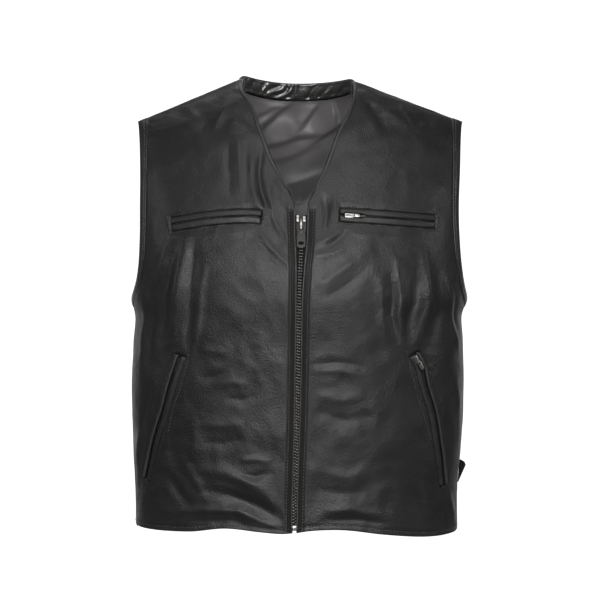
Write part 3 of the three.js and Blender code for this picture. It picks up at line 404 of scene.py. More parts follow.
def around_of(x, height):
    share = (x - lean(height)) / half_width(height)
    return np.sign(share) * np.interp(np.minimum(np.abs(share), 1), QUARTER_X, QUARTER_SHARE)


def shoulder_line(face, out):
    left = smooth((out + SHOULDER_BLEND) / (2 * SHOULDER_BLEND))
    slope = mix(SHOULDER_SLOPE[-1], SHOULDER_SLOPE[1], left)
    neck = mix(NECK_POINT[-1], NECK_POINT[1], left)
    crown = np.where(np.asarray(face) > 0, CROWN[BACK], CROWN[FRONT])
    reach = np.abs(out)
    line = SHOULDER_TIP_HEIGHT + slope * (SHOULDER_TIP - np.maximum(reach, neck))
    return line + crown * np.maximum(0, 1 - (reach / neck) ** 2)


def shoulder_reach(out):
    return SHOULDER_REACH - SHOULDER_REACH_TAPER * np.abs(out)


def base(face, around, rise):
    """Points of the smooth form. rise runs up the cloth from where the shoulder starts to round over."""
    face, around, rise = np.broadcast_arrays(face, around, rise)
    unit_x, unit_y = section(around)
    height = np.where(rise < 0, -250.0 + rise, -100.0)
    for _ in range(5):
        out = half_width(height) * unit_x
        reach = shoulder_reach(out)
        lying = np.where(rise < 0, 0.0, rise / reach)
        start = shoulder_line(face, out) - reach
        height = np.where(rise < 0, start + rise, start + reach * np.sin(lying))
    deep = np.where(face > 0, back_depth(height), front_depth(height)) * unit_y * np.cos(lying)
    return np.stack([lean(height) + out, face * deep, height], -1)


def form_axes(face, around, rise):
    """Directions round and up the form, for one unit of each, and the way out of it."""
    small = 0.004
    across = (base(face, around + small, rise) - base(face, around - small, rise)) / (2 * small)
    up = (base(face, around, rise + 1) - base(face, around, rise - 1)) / 2
    flip = np.where(np.asarray(face) > 0, -1.0, 1.0)[..., None]
    return across, up, unit(np.cross(across, up)) * flip


def rise_of(face, around, height):
    out = half_width(height) * section(around)[0]
    reach = shoulder_reach(out)
    start = shoulder_line(face, out) - reach
    over = reach * np.arcsin(np.clip((height - start) / reach, 0, 1))
    return np.where(height <= start, height - start, over)


def top_rise(face, around):
    height = np.zeros_like(around)
    for _ in range(5):
        out = half_width(height) * section(around)[0]
        height = shoulder_line(face, out)
    return shoulder_reach(out) * math.pi / 2


def curve_through(knots, count):
    """Evenly spaced points on a smooth curve through the knots."""
    knots = np.array(knots, float)
    ends = np.vstack([2 * knots[0] - knots[1], knots, 2 * knots[-1] - knots[-2]])
    t = np.linspace(0, 1, 25)[:, None]
    fine = [knots[:1]]
    for i in range(len(knots) - 1):
        p0, p1, p2, p3 = ends[i : i + 4]
        a, b, c = (np.linalg.norm(q - p) ** 0.5 for p, q in ((p0, p1), (p1, p2), (p2, p3)))
        leave = ((p1 - p0) / a - (p2 - p0) / (a + b) + (p2 - p1) / b) * b
        arrive = ((p2 - p1) / b - (p3 - p1) / (b + c) + (p3 - p2) / c) * b
        part = (2 * t**3 - 3 * t**2 + 1) * p1 + (t**3 - 2 * t**2 + t) * leave
        fine.append((part + (3 * t**2 - 2 * t**3) * p2 + (t**3 - t**2) * arrive)[1:])
    fine = np.vstack(fine)
    length = np.concatenate([[0], np.cumsum(np.linalg.norm(np.diff(fine, axis=0), axis=1))])
    at = np.linspace(0, length[-1], count)
    return np.stack([np.interp(at, length, fine[:, k]) for k in range(fine.shape[1])], 1)


def line_at(line, share):
    """Places on a line of cloth, by share of its points."""
    at = np.clip(share, 0, 1) * (len(line[1]) - 1)
    index = np.arange(len(line[1]))
    return tuple(np.interp(at, index, np.broadcast_to(part, index.shape)) for part in line)


def inset(line, distance, closed=False):
    """The line moved sideways over the cloth."""
    face, around, rise = line
    points = base(*line)
    along = np.roll(points, -1, 0) - np.roll(points, 1, 0) if closed else np.gradient(points, axis=0)
    across, up, normal = form_axes(*line)
    move = unit(np.cross(normal, along)) * np.reshape(distance, (-1, 1))
    aa, bb, ab = (across * across).sum(1), (up * up).sum(1), (across * up).sum(1)
    ma, mb = (move * across).sum(1), (move * up).sum(1)
    scale = aa * bb - ab * ab
    return face, around + (ma * bb - mb * ab) / scale, rise + (mb * aa - ma * ab) / scale


LINE_STEPS = 160


def armhole_line(side):
    """Cut edge of an armhole: up the front from the underarm, over the shoulder, down the back."""
    halves = []
    tip = side * np.interp(SHOULDER_TIP / half_width(SHOULDER_TIP_HEIGHT), QUARTER_X, QUARTER_SHARE)
    for face in (FRONT, BACK):
        knots = [(side * share * GIRTH, rise_of(face, side * share, height)) for share, height in ARMHOLE]
        knots.append((tip * GIRTH, top_rise(face, tip)))
        halves.append(curve_through(knots, LINE_STEPS + 1))
    there, back = halves[0], halves[1][::-1][1:-1]
    face = np.concatenate([np.full(len(there), FRONT), np.full(len(back), BACK)])
    whole = np.vstack([there, back])
    return face, whole[:, 0] / GIRTH, whole[:, 1]


def armhole_seam(side, face):
    line = inset(armhole_line(side), side * ARMHOLE_BAND, True)
    _, around, rise = line
    if face == FRONT:
        pick = np.arange(LINE_STEPS + 1)
    else:
        pick = np.concatenate([[0], np.arange(len(around) - 1, LINE_STEPS - 1, -1)])
    return np.full(len(pick), face), around[pick], rise[pick]


def neck_point_around(side):
    height = shoulder_line(FRONT, np.float64(side * NECK_POINT[side]))
    return around_of(lean(height) + side * NECK_POINT[side], height)


def neck_line(side):
    """Edge of the V neck, from the zip's top to the shoulder line."""
    knots = []
    for out, height in NECKLINE[side]:
        around = around_of(out, height)
        knots.append((around * GIRTH, rise_of(FRONT, around, height)))
    top = neck_point_around(side)
    knots.append((top * GIRTH, top_rise(FRONT, top)))
    line = curve_through(knots, LINE_STEPS + 1)
    return np.full(len(line), FRONT), line[:, 0] / GIRTH, line[:, 1]


def neck_edge_width():
    step = np.linspace(0, 10, LINE_STEPS + 1)
    return mix(0.8, 6.0, smooth(step / 2)) + 2.5 * smooth((step - 6) / 4)


def neck_inset(side, share, gap=0.0):
    return inset(neck_line(side), side * (neck_edge_width() * share + gap))


def back_neck_height(out):
    side = np.where(out < 0, -1.0, 1.0)
    neck = np.where(out < 0, NECK_POINT[-1], NECK_POINT[1])
    share = np.minimum(1, np.abs(out) / neck)
    return mix(NAPE_SEAM, shoulder_line(BACK, side * neck), share**2.4)


def slot_line(pocket, distance, aside):
    """(round, height) so far along a pocket's slot and so far to the side of its first lip."""
    path = curve_through(pocket["slot"], 300)
    steps = np.linalg.norm(np.diff(path, axis=0), axis=1)
    length = np.concatenate([[0], np.cumsum(steps)])
    way = np.gradient(path, length, axis=0)
    inside = np.clip(distance, 0, length[-1])
    point = np.stack([np.interp(inside, length, path[:, k]) for k in (0, 1)], -1)
    tangent = unit(np.stack([np.interp(inside, length, way[:, k]) for k in (0, 1)], -1))
    over = np.asarray(distance - inside)[..., None]
    sideways = np.stack([-tangent[..., 1], tangent[..., 0]], -1) * pocket["side"]
    return point + tangent * over + sideways * np.asarray(aside)[..., None]


def slot_length(pocket):
    path = curve_through(pocket["slot"], 300)
    return float(np.linalg.norm(np.diff(path, axis=0), axis=1).sum())


def slot_half(pocket, distance):
    if not pocket["gape"]:
        return np.full_like(distance, pocket["slit"])
    start = pocket["pivot"] - 13
    end = pocket["pivot"] + pocket["pull"] + 2
    opened = smooth((distance - start) / 4) * (1 - smooth((distance - end) / 7))
    return mix(pocket["slit"], pocket["gape"], opened)


# The leather's relief over the form

def nearest(path, a, b, sided=False):
    """Distance from every place to a path, how far along the path its nearest point is, and its side."""
    best = np.full(np.shape(a), 1e9)
    share = np.zeros(np.shape(a))
    facing = np.ones(np.shape(a))
    for i, ((ax, ay), (bx, by)) in enumerate(zip(path[:-1], path[1:])):
        length = (bx - ax) ** 2 + (by - ay) ** 2 + 1e-9
        t = np.clip(((a - ax) * (bx - ax) + (b - ay) * (by - ay)) / length, 0, 1)
        distance = np.hypot(a - ax - t * (bx - ax), b - ay - t * (by - ay))
        closer = distance < best
        best = np.where(closer, distance, best)
        share = np.where(closer, (i + t) / (len(path) - 1), share)
        if sided:
            facing = np.where(closer, np.sign((by - ay) * (a - ax) - (bx - ax) * (b - ay)), facing)
    return (best, share, facing) if sided else (best, share)


def fold_lift(folds, face, around_mm, height):
    lift = np.zeros(np.shape(height))
    for fold_face, path, spread, out in folds:
        if fold_face == face:
            distance, share = nearest(path, around_mm, height)
            lift += out * (0.35 + 0.65 * np.sin(np.pi * share)) * np.exp(-((distance / spread) ** 2))
    return lift


def crease_lift(creases, face, around_mm, height):
    """Creases are sharper on one side than folds, and run out at both ends."""
    lift = np.zeros(np.shape(height))
    for crease_face, path, spread, out in creases:
        if crease_face == face:
            distance, share = nearest(path, around_mm, height)
            lift += out * np.sin(np.pi * share) ** 0.6 * np.exp(-np.abs(distance / spread) ** 1.5)
    return lift


def lumps(a, b, seed, shortest, longest, count=26):
    """Soft unevenness of hide, the same every time: waves of these lengths in every direction."""
    rng = np.random.default_rng(seed)
    total = np.zeros(np.shape(a))
    for _ in range(count):
        length = shortest * (longest / shortest) ** rng.random()
        way = rng.random() * 2 * math.pi
        phase = rng.random() * 2 * math.pi
        wave = (a * math.cos(way) + b * math.sin(way)) * 2 * math.pi / length
        total += np.sin(wave + phase) * (length / longest) ** 0.7
    return total / math.sqrt(count)


def calm(face, around_mm, height, to_seam):
    """Folds die away at the zip, the pockets, the sides and the shoulders, which hold the leather still."""
    free = smooth(to_seam / 14)
    if face == FRONT:
        free = free * smooth((np.abs(around_mm) - 12) / 10)
        for pocket in POCKETS:
            free = free * smooth((nearest(pocket["slot"], around_mm, height)[0] - 10) / 9)
    return free * smooth((GIRTH - np.abs(around_mm)) / 24)


def seam_groove(distance, width=1.5, depth=0.5):
    return -depth * np.exp(-((distance / width) ** 2))


def relief(face, around, rise):
    """Millimetres that a panel stands out of the form at every place on one face."""
    around_mm = around * GIRTH
    height = base(face, around, rise)[..., 2]
    to_seam = top_rise(face, around) - rise
    free = calm(face, around_mm, height, to_seam)
    lift = fold_lift(FOLDS, face, around_mm, height) * free
    near_seam = smooth(to_seam / 14) * smooth((GIRTH - np.abs(around_mm)) / 12)
    lift += crease_lift(CREASES, face, around_mm, height) * near_seam
    soft = 0.55 * lumps(around_mm, rise, 11 + face, 26, 90)
    where_fine = smooth(0.5 + 0.5 * lumps(around_mm, rise, 5, 60, 140))
    soft += 0.16 * lumps(around_mm, rise, 31 + face, 9, 24) * where_fine
    ridges = np.abs(lumps(around_mm, rise, 51 + face, 34, 80)) - 0.5
    lift += (soft - 0.5 * ridges * free) * mix(0.3, 1, free) * near_seam
    for path, width, depth in GROOVES[face]:
        lift += seam_groove(nearest(path, around_mm, rise)[0], width, depth)
    return lift


def lay(face, around, rise, level, lift=None):
    """Points on the cloth at a level above or below its outer face."""
    normal = form_axes(face, around, rise)[2]
    out = relief_of(face, around, rise) if lift is None else lift
    return base(face, around, rise) + normal * (out + level)[..., None]


def relief_of(face, around, rise):
    """Relief where a line may run over both faces."""
    face = np.broadcast_to(face, np.shape(around))
    out = np.zeros(np.shape(around))
    for one in (FRONT, BACK):
        here = face == one
        if here.any():
            out[here] = relief(one, around[here], rise[here])
    return out


# Sewing lines, kept as (face, around, rise), with the groove that each presses into the leather

def height_line(points, count=60):
    path = curve_through(points, count)
    around = path[:, 0] / GIRTH
    return np.full(count, FRONT), around, rise_of(FRONT, around, path[:, 1])


def zip_edge_line(side, off, bottom=-604, top=-158):
    height = np.linspace(bottom, top, 90)
    around = around_of(zip_middle(height) + side * (zip_half_gap(height) + off), height)
    return np.full(90, FRONT), around, rise_of(FRONT, around, height)


def hem_line(face, off):
    around = np.linspace(-0.995, 0.995, 160)
    if face == FRONT:
        around = np.concatenate([np.linspace(-0.995, -0.05, 80), np.linspace(0.035, 0.995, 80)])
        height = front_hem(around * GIRTH) + off
    else:
        height = np.full(160, -609.0) + off
    return np.full(160, face), around, rise_of(face, around, height)


def pocket_frame(pocket, off):
    """Topstitching round a pocket's lips, as one closed line."""
    length = slot_length(pocket)
    first, second = pocket["lips"][0][1] + off, pocket["lips"][1][1] + off
    down = np.linspace(-off, length + off, 40)
    across = np.linspace(first, -second, 8)[1:-1]
    back = down[::-1]
    distance = np.concatenate([down, np.full(6, length + off), back, np.full(6, -off), [-off]])
    aside = np.concatenate([np.full(40, first), across, np.full(40, -second), across[::-1], [first]])
    spots = slot_line(pocket, distance, aside)
    around = spots[:, 0] / GIRTH
    return np.full(len(around), FRONT), around, rise_of(FRONT, around, spots[:, 1])


def neck_stitch(side, gap):
    line = neck_inset(side, 1.0, gap)
    return tuple(part[6:-4] for part in line)


STITCHED = (
    [zip_edge_line(side, 8.6) for side in (-1, 1)]
    + [hem_line(face, 6.0) for face in (FRONT, BACK)]
    + [pocket_frame(pocket, 2.6) for pocket in POCKETS[:2]]
    + [height_line(points) for points in POCKET_CURVES]
    + [neck_stitch(side, 2.2) for side in (-1, 1)]
)


def groove_path(line, step):
    path = [(a * GIRTH, r) for a, r in zip(line[1][::step], line[2][::step])]
    return path + [(line[1][-1] * GIRTH, line[2][-1])]


STITCH_LEVEL = 0.85  # of a thread's middle, above the bottom of its groove
GROOVES = {FRONT: [], BACK: []}
for _line in STITCHED:
    GROOVES[int(_line[0][0])].append((groove_path(_line, 4), 1.9, 0.6))


# Meshes

def quads_of(index, wrap=False):
    if wrap:
        index = np.vstack([index, index[:1]])
    return np.stack([index[:-1, :-1], index[:-1, 1:], index[1:, 1:], index[1:, :-1]], -1).reshape(-1, 4)


def shell_mesh(name, outer, inner, wrap=False, uv=None, wear=None):
    """A thin closed shell whose two sides share the points of their border."""
    rows, columns = outer.shape[:2]
    border = np.zeros((rows, columns), bool)
    border[:, 0] = border[:, -1] = True
    if not wrap:
        border[0] = border[-1] = True
    front = np.arange(rows * columns).reshape(rows, columns)
    behind = front.copy()
    behind[~border] = rows * columns + np.arange((~border).sum())
    shown = np.where(border[..., None], (outer + inner) / 2, outer).reshape(-1, 3)
    points = np.vstack([shown, inner[~border]]) * MM
    faces = np.vstack([quads_of(front, wrap), quads_of(behind, wrap)[:, ::-1]])
    a, b, c = (points[faces[:, k]] for k in (0, 1, 2))
    d = points[faces[:, 3]]
    volume = (a * np.cross(b, c)).sum() + (a * np.cross(c, d)).sum()
    if volume < 0:
        faces = faces[:, ::-1]
    mesh = bpy.data.meshes.new(name)
    mesh.from_pydata(points.tolist(), [], faces.tolist())
    mesh.polygons.foreach_set("use_smooth", [True] * len(mesh.polygons))
    per_point = {}
    if uv is not None:
        flat = uv.reshape(-1, 2)
        per_point["cloth"] = np.vstack([flat, flat[~border.ravel()]])
        layer = mesh.uv_layers.new(name="cloth")
        loops = np.empty(len(mesh.loops), int)
        mesh.loops.foreach_get("vertex_index", loops)
        layer.data.foreach_set("uv", (per_point["cloth"][loops] * MM).ravel())
    if wear is not None:
        values = np.concatenate([wear.ravel(), wear.ravel()[~border.ravel()]])
        mesh.attributes.new("wear", "FLOAT", "POINT").data.foreach_set("value", values)
    mesh.update()
    return mesh


def add_object(name, mesh):
    obj = bpy.data.objects.new(name, mesh)
    bpy.context.scene.collection.objects.link(obj)
    return obj


def rounded(edge, half):
    """Half thickness at a distance from a folded edge, so that the edge is round."""
    t = np.clip(edge / half, 0, 1)
    return half * np.sqrt(np.maximum(0, 1 - (1 - t) ** 2))


def edge_steps(count, width, half=1.1):
    """Shares across a piece, close together at both edges for their rounding."""
    near = np.array([0, 0.12, 0.4, 0.9, 1.8]) * half / width
    inner = np.linspace(near[-1], 1 - near[-1], count)[1:-1]
    return np.concatenate([near, inner, 1 - near[::-1]])


def dress(obj, material, body="vest"):
    obj.data.materials.clear()
    obj.data.materials.append(material)
    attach(obj, body)
    return obj


def make_shell(name, place, level, half, material, wrap=False, lift=None, wear=0.0):
    """Builds a piece of cloth over a grid of places and replaces its solid."""
    face, around, rise = place
    middle = base(face, around, rise)
    normal = form_axes(face, around, rise)[2]
    out = relief_of(face, around, rise) if lift is None else lift
    outer = middle + normal * (out + level + half)[..., None]
    inner = middle + normal * (out + level - half)[..., None]
    uv = np.stack([around * GIRTH, rise], -1)
    # Lighter colour at the rounded edges: partly real edge wear, partly a painted highlight along folded and
    # band edges
    obj = add_object(name, shell_mesh(name, outer, inner, wrap, uv, 0.4 - 0.4 * half / half.max() + wear))
    dress(obj, material)
    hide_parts(name)
    return obj


def border_distance(shape, row_mm, column_mm, rows=True):
    """Distance of each place on a grid from its nearest edge, from the places of its rows and columns."""
    across = np.minimum(column_mm - column_mm[:, :1], column_mm[:, -1:] - column_mm)
    if not rows:
        return np.broadcast_to(across, shape)
    down = np.minimum(row_mm - row_mm[:1], row_mm[-1:] - row_mm)
    return np.minimum(across, down)


def arc(points, axis):
    """Length along a grid of points from its start, in millimetres."""
    steps = np.linalg.norm(np.diff(points, axis=axis), axis=-1)
    start = np.zeros_like(np.take(steps, [0], axis=axis))
    return np.concatenate([start, np.cumsum(steps, axis=axis)], axis=axis)


# Materials

def to_linear(hex_colour):
    """A hex colour as the linear values that a shader takes."""
    value = int(hex_colour.lstrip("#"), 16)
    parts = [((value >> shift) & 255) / 255 for shift in (16, 8, 0)]
    return tuple(p / 12.92 if p <= 0.04045 else ((p + 0.055) / 1.055) ** 2.4 for p in parts) + (1.0,)


def add_node(tree, kind, links=None, **settings):
    """Adds a node, with its settings and the sockets that feed it. Sockets in links may be values."""
    node = tree.nodes.new(kind)
    for key, value in settings.items():
        setattr(node, key, value)
    for socket, source in (links or {}).items():
        if isinstance(source, bpy.types.NodeSocket):
            tree.links.new(source, node.inputs[socket])
        else:
            node.inputs[socket].default_value = source
    return node


def new_material(name):
    material = bpy.data.materials.new(name)
    material.use_nodes = True
    tree = material.node_tree
    tree.nodes.clear()
    output = add_node(tree, "ShaderNodeOutputMaterial")
    shader = add_node(tree, "ShaderNodeBsdfPrincipled")
    tree.links.new(shader.outputs["BSDF"], output.inputs["Surface"])
    return material, tree, shader


def leather_material(name, settings, gloss=0.0, grain=1.0):
    """Finished nappa: pigment over a fine pebbled grain, with a soft wax sheen that wear polishes. The wear
    attribute also lightens its colour, partly as real edge wear and partly as painted highlight and painted
    light.
    """
    material, tree, shader = new_material(name)
    place = add_node(tree, "ShaderNodeTexCoord").outputs["Object"]
    cell = 1 / (settings.grain_size * MM)
    pebble = add_node(tree, "ShaderNodeTexVoronoi", {"Vector": place, "Scale": cell, "Randomness": 1.0},
                      feature="SMOOTH_F1")
    pores = add_node(tree, "ShaderNodeTexNoise", {"Vector": place, "Scale": cell * 0.9, "Detail": 3.0})
    # Broad change of gloss over a hide, a hand's width across
    patch = add_node(tree, "ShaderNodeTexNoise", {
        "Vector": place,
        "Scale": 16.0,
        "Detail": 4.0,
        "Roughness": 0.6,
    })
    wear = add_node(tree, "ShaderNodeAttribute", attribute_name="wear")
    tone = add_node(tree, "ShaderNodeMix", {
        "Factor": patch.outputs["Fac"],
        "A": to_linear(settings.dark_hex()),
        "B": to_linear(settings.light_hex()),
    }, data_type="RGBA")
    # Lightened towards #595756 by the wear attribute: real edge wear, a painted highlight on folded and lip
    # edges, and painted light on the collar
    rubbed = add_node(tree, "ShaderNodeMix", {
        "Factor": add_node(tree, "ShaderNodeMath", {0: wear.outputs["Fac"], 1: 0.5}, operation="MULTIPLY",
                           use_clamp=True).outputs[0],
        "A": tone.outputs["Result"],
        "B": to_linear("#595756"),
    }, data_type="RGBA")
    tree.links.new(rubbed.outputs["Result"], shader.inputs["Base Color"])
    rough = add_node(tree, "ShaderNodeMapRange", {
        "Value": patch.outputs["Fac"],
        "From Min": 0.3,
        "From Max": 0.7,
        "To Min": settings.roughness - 0.07 - gloss,
        "To Max": settings.roughness + 0.09 - gloss,
    })
    rubbed = add_node(tree, "ShaderNodeMath", {0: wear.outputs["Fac"], 1: 0.16}, operation="MULTIPLY")
    rubbed_rough = add_node(tree, "ShaderNodeMath", {
        0: rough.outputs["Result"],
        1: rubbed.outputs[0],
    }, operation="SUBTRACT")
    tree.links.new(rubbed_rough.outputs[0], shader.inputs["Roughness"])
    bump = add_node(tree, "ShaderNodeBump", {
        "Height": pebble.outputs["Distance"],
        "Strength": 0.48 * grain,
        "Distance": 0.0008,
    }, invert=True)
    fine = add_node(tree, "ShaderNodeBump", {
        "Height": pores.outputs["Fac"],
        "Strength": 0.4 * grain,
        "Distance": 0.0005,
        "Normal": bump.outputs["Normal"],
    })
    # Grain that stretched here and bunched there breaks the shine into small spots
    bunched = add_node(tree, "ShaderNodeTexNoise", {"Vector": place, "Scale": 300.0, "Detail": 2.0,
                                                    "Roughness": 0.6})
    broken = add_node(tree, "ShaderNodeBump", {
        "Height": bunched.outputs["Fac"],
        "Strength": 0.36 * grain,
        "Distance": 0.0009,
        "Normal": fine.outputs["Normal"],
    })
    tree.links.new(broken.outputs["Normal"], shader.inputs["Normal"])
    shader.inputs["IOR"].default_value = 1.5 + 2.4 * gloss
    shader.inputs["Coat Weight"].default_value = 0.15 + gloss
    shader.inputs["Coat Roughness"].default_value = 0.28
    return material


def satin_material(settings):
    """Dark polyester satin: long floats make a soft streaked gloss with almost no grain, under painted light
    near the neck and painted shade lower down.
    """
    material, tree, shader = new_material("Satin lining")
    coordinates = add_node(tree, "ShaderNodeTexCoord")
    threads = add_node(tree, "ShaderNodeTexNoise", {
        "Vector": add_node(tree, "ShaderNodeMapping", {
            "Vector": coordinates.outputs["UV"],
            "Scale": (500.0, 60.0, 1.0),
        }).outputs["Vector"],
        "Scale": 4.0,
        "Detail": 2.0,
    })
    colour = add_node(tree, "ShaderNodeMix", {
        "Factor": threads.outputs["Fac"],
        "A": to_linear(settings.satin_hex(0.85)),
        "B": to_linear(settings.satin_hex(1.15)),
    }, data_type="RGBA")
    # Painted light towards the neck and painted shade further down, where the fronts shade the lining inside
    # the vest
    height = add_node(tree, "ShaderNodeSeparateXYZ", {"Vector": coordinates.outputs["Object"]}).outputs["Z"]
    deep = add_node(tree, "ShaderNodeMapRange", {
        "Value": height,
        "From Min": -0.19,
        "From Max": -0.02,
        "To Min": 0.4,
        "To Max": 1.7,
    }, interpolation_type="SMOOTHSTEP")
    painted_light_and_shade = add_node(tree, "ShaderNodeVectorMath", {
        0: colour.outputs["Result"],
        "Scale": deep.outputs["Result"],
    }, operation="SCALE")
    tree.links.new(painted_light_and_shade.outputs["Vector"], shader.inputs["Base Color"])
    bump = add_node(tree, "ShaderNodeBump", {
        "Height": threads.outputs["Fac"],
        "Strength": 0.12,
        "Distance": 0.0002,
    })
    tree.links.new(bump.outputs["Normal"], shader.inputs["Normal"])
    shader.inputs["Roughness"].default_value = 0.37
    shader.inputs["IOR"].default_value = 1.7
    shader.inputs["Sheen Weight"].default_value = 0.2
    shader.inputs["Sheen Roughness"].default_value = 0.4
    return material


def woven_material(name, hex_colour, thread_mm):
    """Woven polyester zip tape: fine ribs across a matt black band."""
    material, tree, shader = new_material(name)
    uv = add_node(tree, "ShaderNodeTexCoord").outputs["UV"]
    ribs = add_node(tree, "ShaderNodeTexWave", {
        "Vector": uv,
        "Scale": 1 / (thread_mm * MM) / 6,
        "Distortion": 0.4,
    }, bands_direction="Y")
    colour = add_node(tree, "ShaderNodeMix", {
        "Factor": ribs.outputs["Fac"],
        "A": to_linear("#0a0a0a"),
        "B": to_linear(hex_colour),
    }, data_type="RGBA")
    tree.links.new(colour.outputs["Result"], shader.inputs["Base Color"])
    bump = add_node(tree, "ShaderNodeBump", {
        "Height": ribs.outputs["Fac"],
        "Strength": 0.5,
        "Distance": 0.0003,
    })
    tree.links.new(bump.outputs["Normal"], shader.inputs["Normal"])
    shader.inputs["Roughness"].default_value = 0.85
    return material


def metal_material(name, hex_colour, roughness):
    """Plated zinc: bright with fine handling scratches in its plating."""
    material, tree, shader = new_material(name)
    place = add_node(tree, "ShaderNodeTexCoord").outputs["Object"]
    drawn_out = add_node(tree, "ShaderNodeMapping", {"Vector": place, "Scale": (1.0, 1.0, 0.15)})
    scratches = add_node(tree, "ShaderNodeTexNoise", {
        "Vector": drawn_out.outputs["Vector"],
        "Scale": 2600.0,
        "Detail": 3.0,
    })
    rough = add_node(tree, "ShaderNodeMapRange", {
        "Value": scratches.outputs["Fac"],
        "To Min": roughness - 0.08,
        "To Max": roughness + 0.14,
    })
    bare = add_node(tree, "ShaderNodeMapRange", {
        "Value": scratches.outputs["Fac"],
        "From Min": 0.5,
        "From Max": 0.9,
        "To Max": 0.3,
    })
    tone = add_node(tree, "ShaderNodeMix", {
        "Factor": bare.outputs["Result"],
        "A": to_linear(hex_colour),
        "B": to_linear("#9c9a97"),
    }, data_type="RGBA")
    tree.links.new(tone.outputs["Result"], shader.inputs["Base Color"])
    tree.links.new(rough.outputs["Result"], shader.inputs["Roughness"])
    shader.inputs["Metallic"].default_value = 1.0
    return material


def thread_material():
    """Bonded nylon sewing thread, twisted, with a dull shine."""
    material, tree, shader = new_material("Sewing thread")
    place = add_node(tree, "ShaderNodeTexCoord").outputs["Object"]
    twist = add_node(tree, "ShaderNodeTexWave", {"Vector": place, "Scale": 400.0, "Distortion": 1.0})
    colour = add_node(tree, "ShaderNodeMix", {
        "Factor": twist.outputs["Fac"],
        "A": to_linear("#565452"),
        "B": to_linear("#8c8986"),
    }, data_type="RGBA")
    tree.links.new(colour.outputs["Result"], shader.inputs["Base Color"])
    shader.inputs["Roughness"].default_value = 0.5
    return material


def pale_material(name, hex_colour, glow):
    """Matt painted studio board."""
    material, _, shader = new_material(name)
    shader.inputs["Base Color"].default_value = to_linear(hex_colour)
    shader.inputs["Roughness"].default_value = 0.9
    shader.inputs["Emission Color"].default_value = to_linear("#ffffff")
    shader.inputs["Emission Strength"].default_value = glow
    return material


def shared(name, make):
    """Each material is made once and then used again."""
    return bpy.data.materials.get(name) or make()


# colour, roughness
METALS = {
    "Bright nickel": ("#b4b2ae", 0.26),
    "Rubbed nickel": ("#a3a19d", 0.22),
    "Dark nickel": ("#424140", 0.42),
}

# what leather_material takes after the settings, when it isn't the hide itself
LEATHERS = {
    "Nappa leather": (),
    "Pressed leather trim": (0.04, 0.7),
    "Polished collar leather": (0.16, 0.4),
}

# colour, width of a thread in millimetres
WOVENS = {
    "Woven zip tape": ("#141414", 0.9),
    "Woven side tab": ("#161616", 0.7),
}


def shared_metal(name):
    return shared(name, lambda: metal_material(name, *METALS[name]))


def shared_leather(name, context):
    return shared(name, lambda: leather_material(name, context.scene.vest_leather, *LEATHERS[name]))


def shared_woven(name):
    return shared(name, lambda: woven_material(name, *WOVENS[name]))


# Settings that a user would change

def colour_property(name, description, hex_colour):
    return FloatVectorProperty(
        name=name, description=description, subtype="COLOR_GAMMA", size=3, min=0, max=1,
        default=[int(hex_colour[i : i + 2], 16) / 255 for i in (1, 3, 5)],
    )


def as_hex(colour, scale=1.0):
    return "#" + "".join(f"{round(min(1, part * scale) * 255):02x}" for part in colour)


class VestLeatherSettings(bpy.types.PropertyGroup):
    dark: colour_property("Hide, dark", "Darkest tone of the hide", "#131212")
    light: colour_property("Hide, light", "Lightest tone of the hide", "#1d1c1b")
    satin: colour_property("Lining", "Colour of the satin lining", "#585656")
    roughness: FloatProperty(
        name="Roughness", description="How matt the finished hide is", default=0.405,
        min=0.1, max=0.9, subtype="FACTOR",
    )
    grain_size: FloatProperty(
        name="Grain", description="Width of one pebble of the grain, in millimetres", default=1.5,
        min=0.4, max=6,
    )

    def dark_hex(self):
        return as_hex(self.dark)

    def light_hex(self):
        return as_hex(self.light)

    def satin_hex(self, scale):
        return as_hex(self.satin, scale)


class VestSewingSettings(bpy.types.PropertyGroup):
    pitch: FloatProperty(
        name="Stitch pitch", description="From the start of one stitch to the next", default=4.5 * MM,
        min=1 * MM, max=10 * MM, unit="LENGTH", precision=4,
    )
    length: FloatProperty(
        name="Stitch length", description="Length of thread that shows", default=2.0 * MM,
        min=0.5 * MM, max=9 * MM, unit="LENGTH", precision=4,
    )
    thickness: FloatProperty(
        name="Thread", description="Thickness of the sewing thread", default=1.0 * MM,
        min=0.2 * MM, max=2 * MM, unit="LENGTH", precision=4,
    )


class VestZipSettings(bpy.types.PropertyGroup):
    pitch: FloatProperty(
        name="Tooth pitch", description="From one tooth of a row to the next", default=4.1 * MM,
        min=1 * MM, max=8 * MM, unit="LENGTH", precision=4,
    )
    tooth_width: FloatProperty(
        name="Tooth width", description="Reach of one tooth across the zip", default=3.4 * MM,
        min=1 * MM, max=8 * MM, unit="LENGTH", precision=4,
    )
    bevel: FloatProperty(
        name="Edge rounding", description="Rounding of the slider's and pull's edges", default=0.28 * MM,
        min=0.05 * MM, max=1 * MM, unit="LENGTH", precision=5,
    )


class VestStageSettings(bpy.types.PropertyGroup):
    distance: FloatProperty(
        name="Camera distance", description="From the camera to the vest's middle", default=4.0,
        min=1, max=12, unit="LENGTH",
    )
    lens: FloatProperty(
        name="Lens", description="Focal length", default=167.8,
        min=20, max=300, unit="CAMERA",
    )
    key: FloatProperty(
        name="Key light", description="Power of the key light", default=40.0,
        min=0, max=500, unit="POWER",
    )
    seed: IntProperty(name="Seed", description="Seed of the stitches' small unevenness", default=3, min=0)


# The leather panels

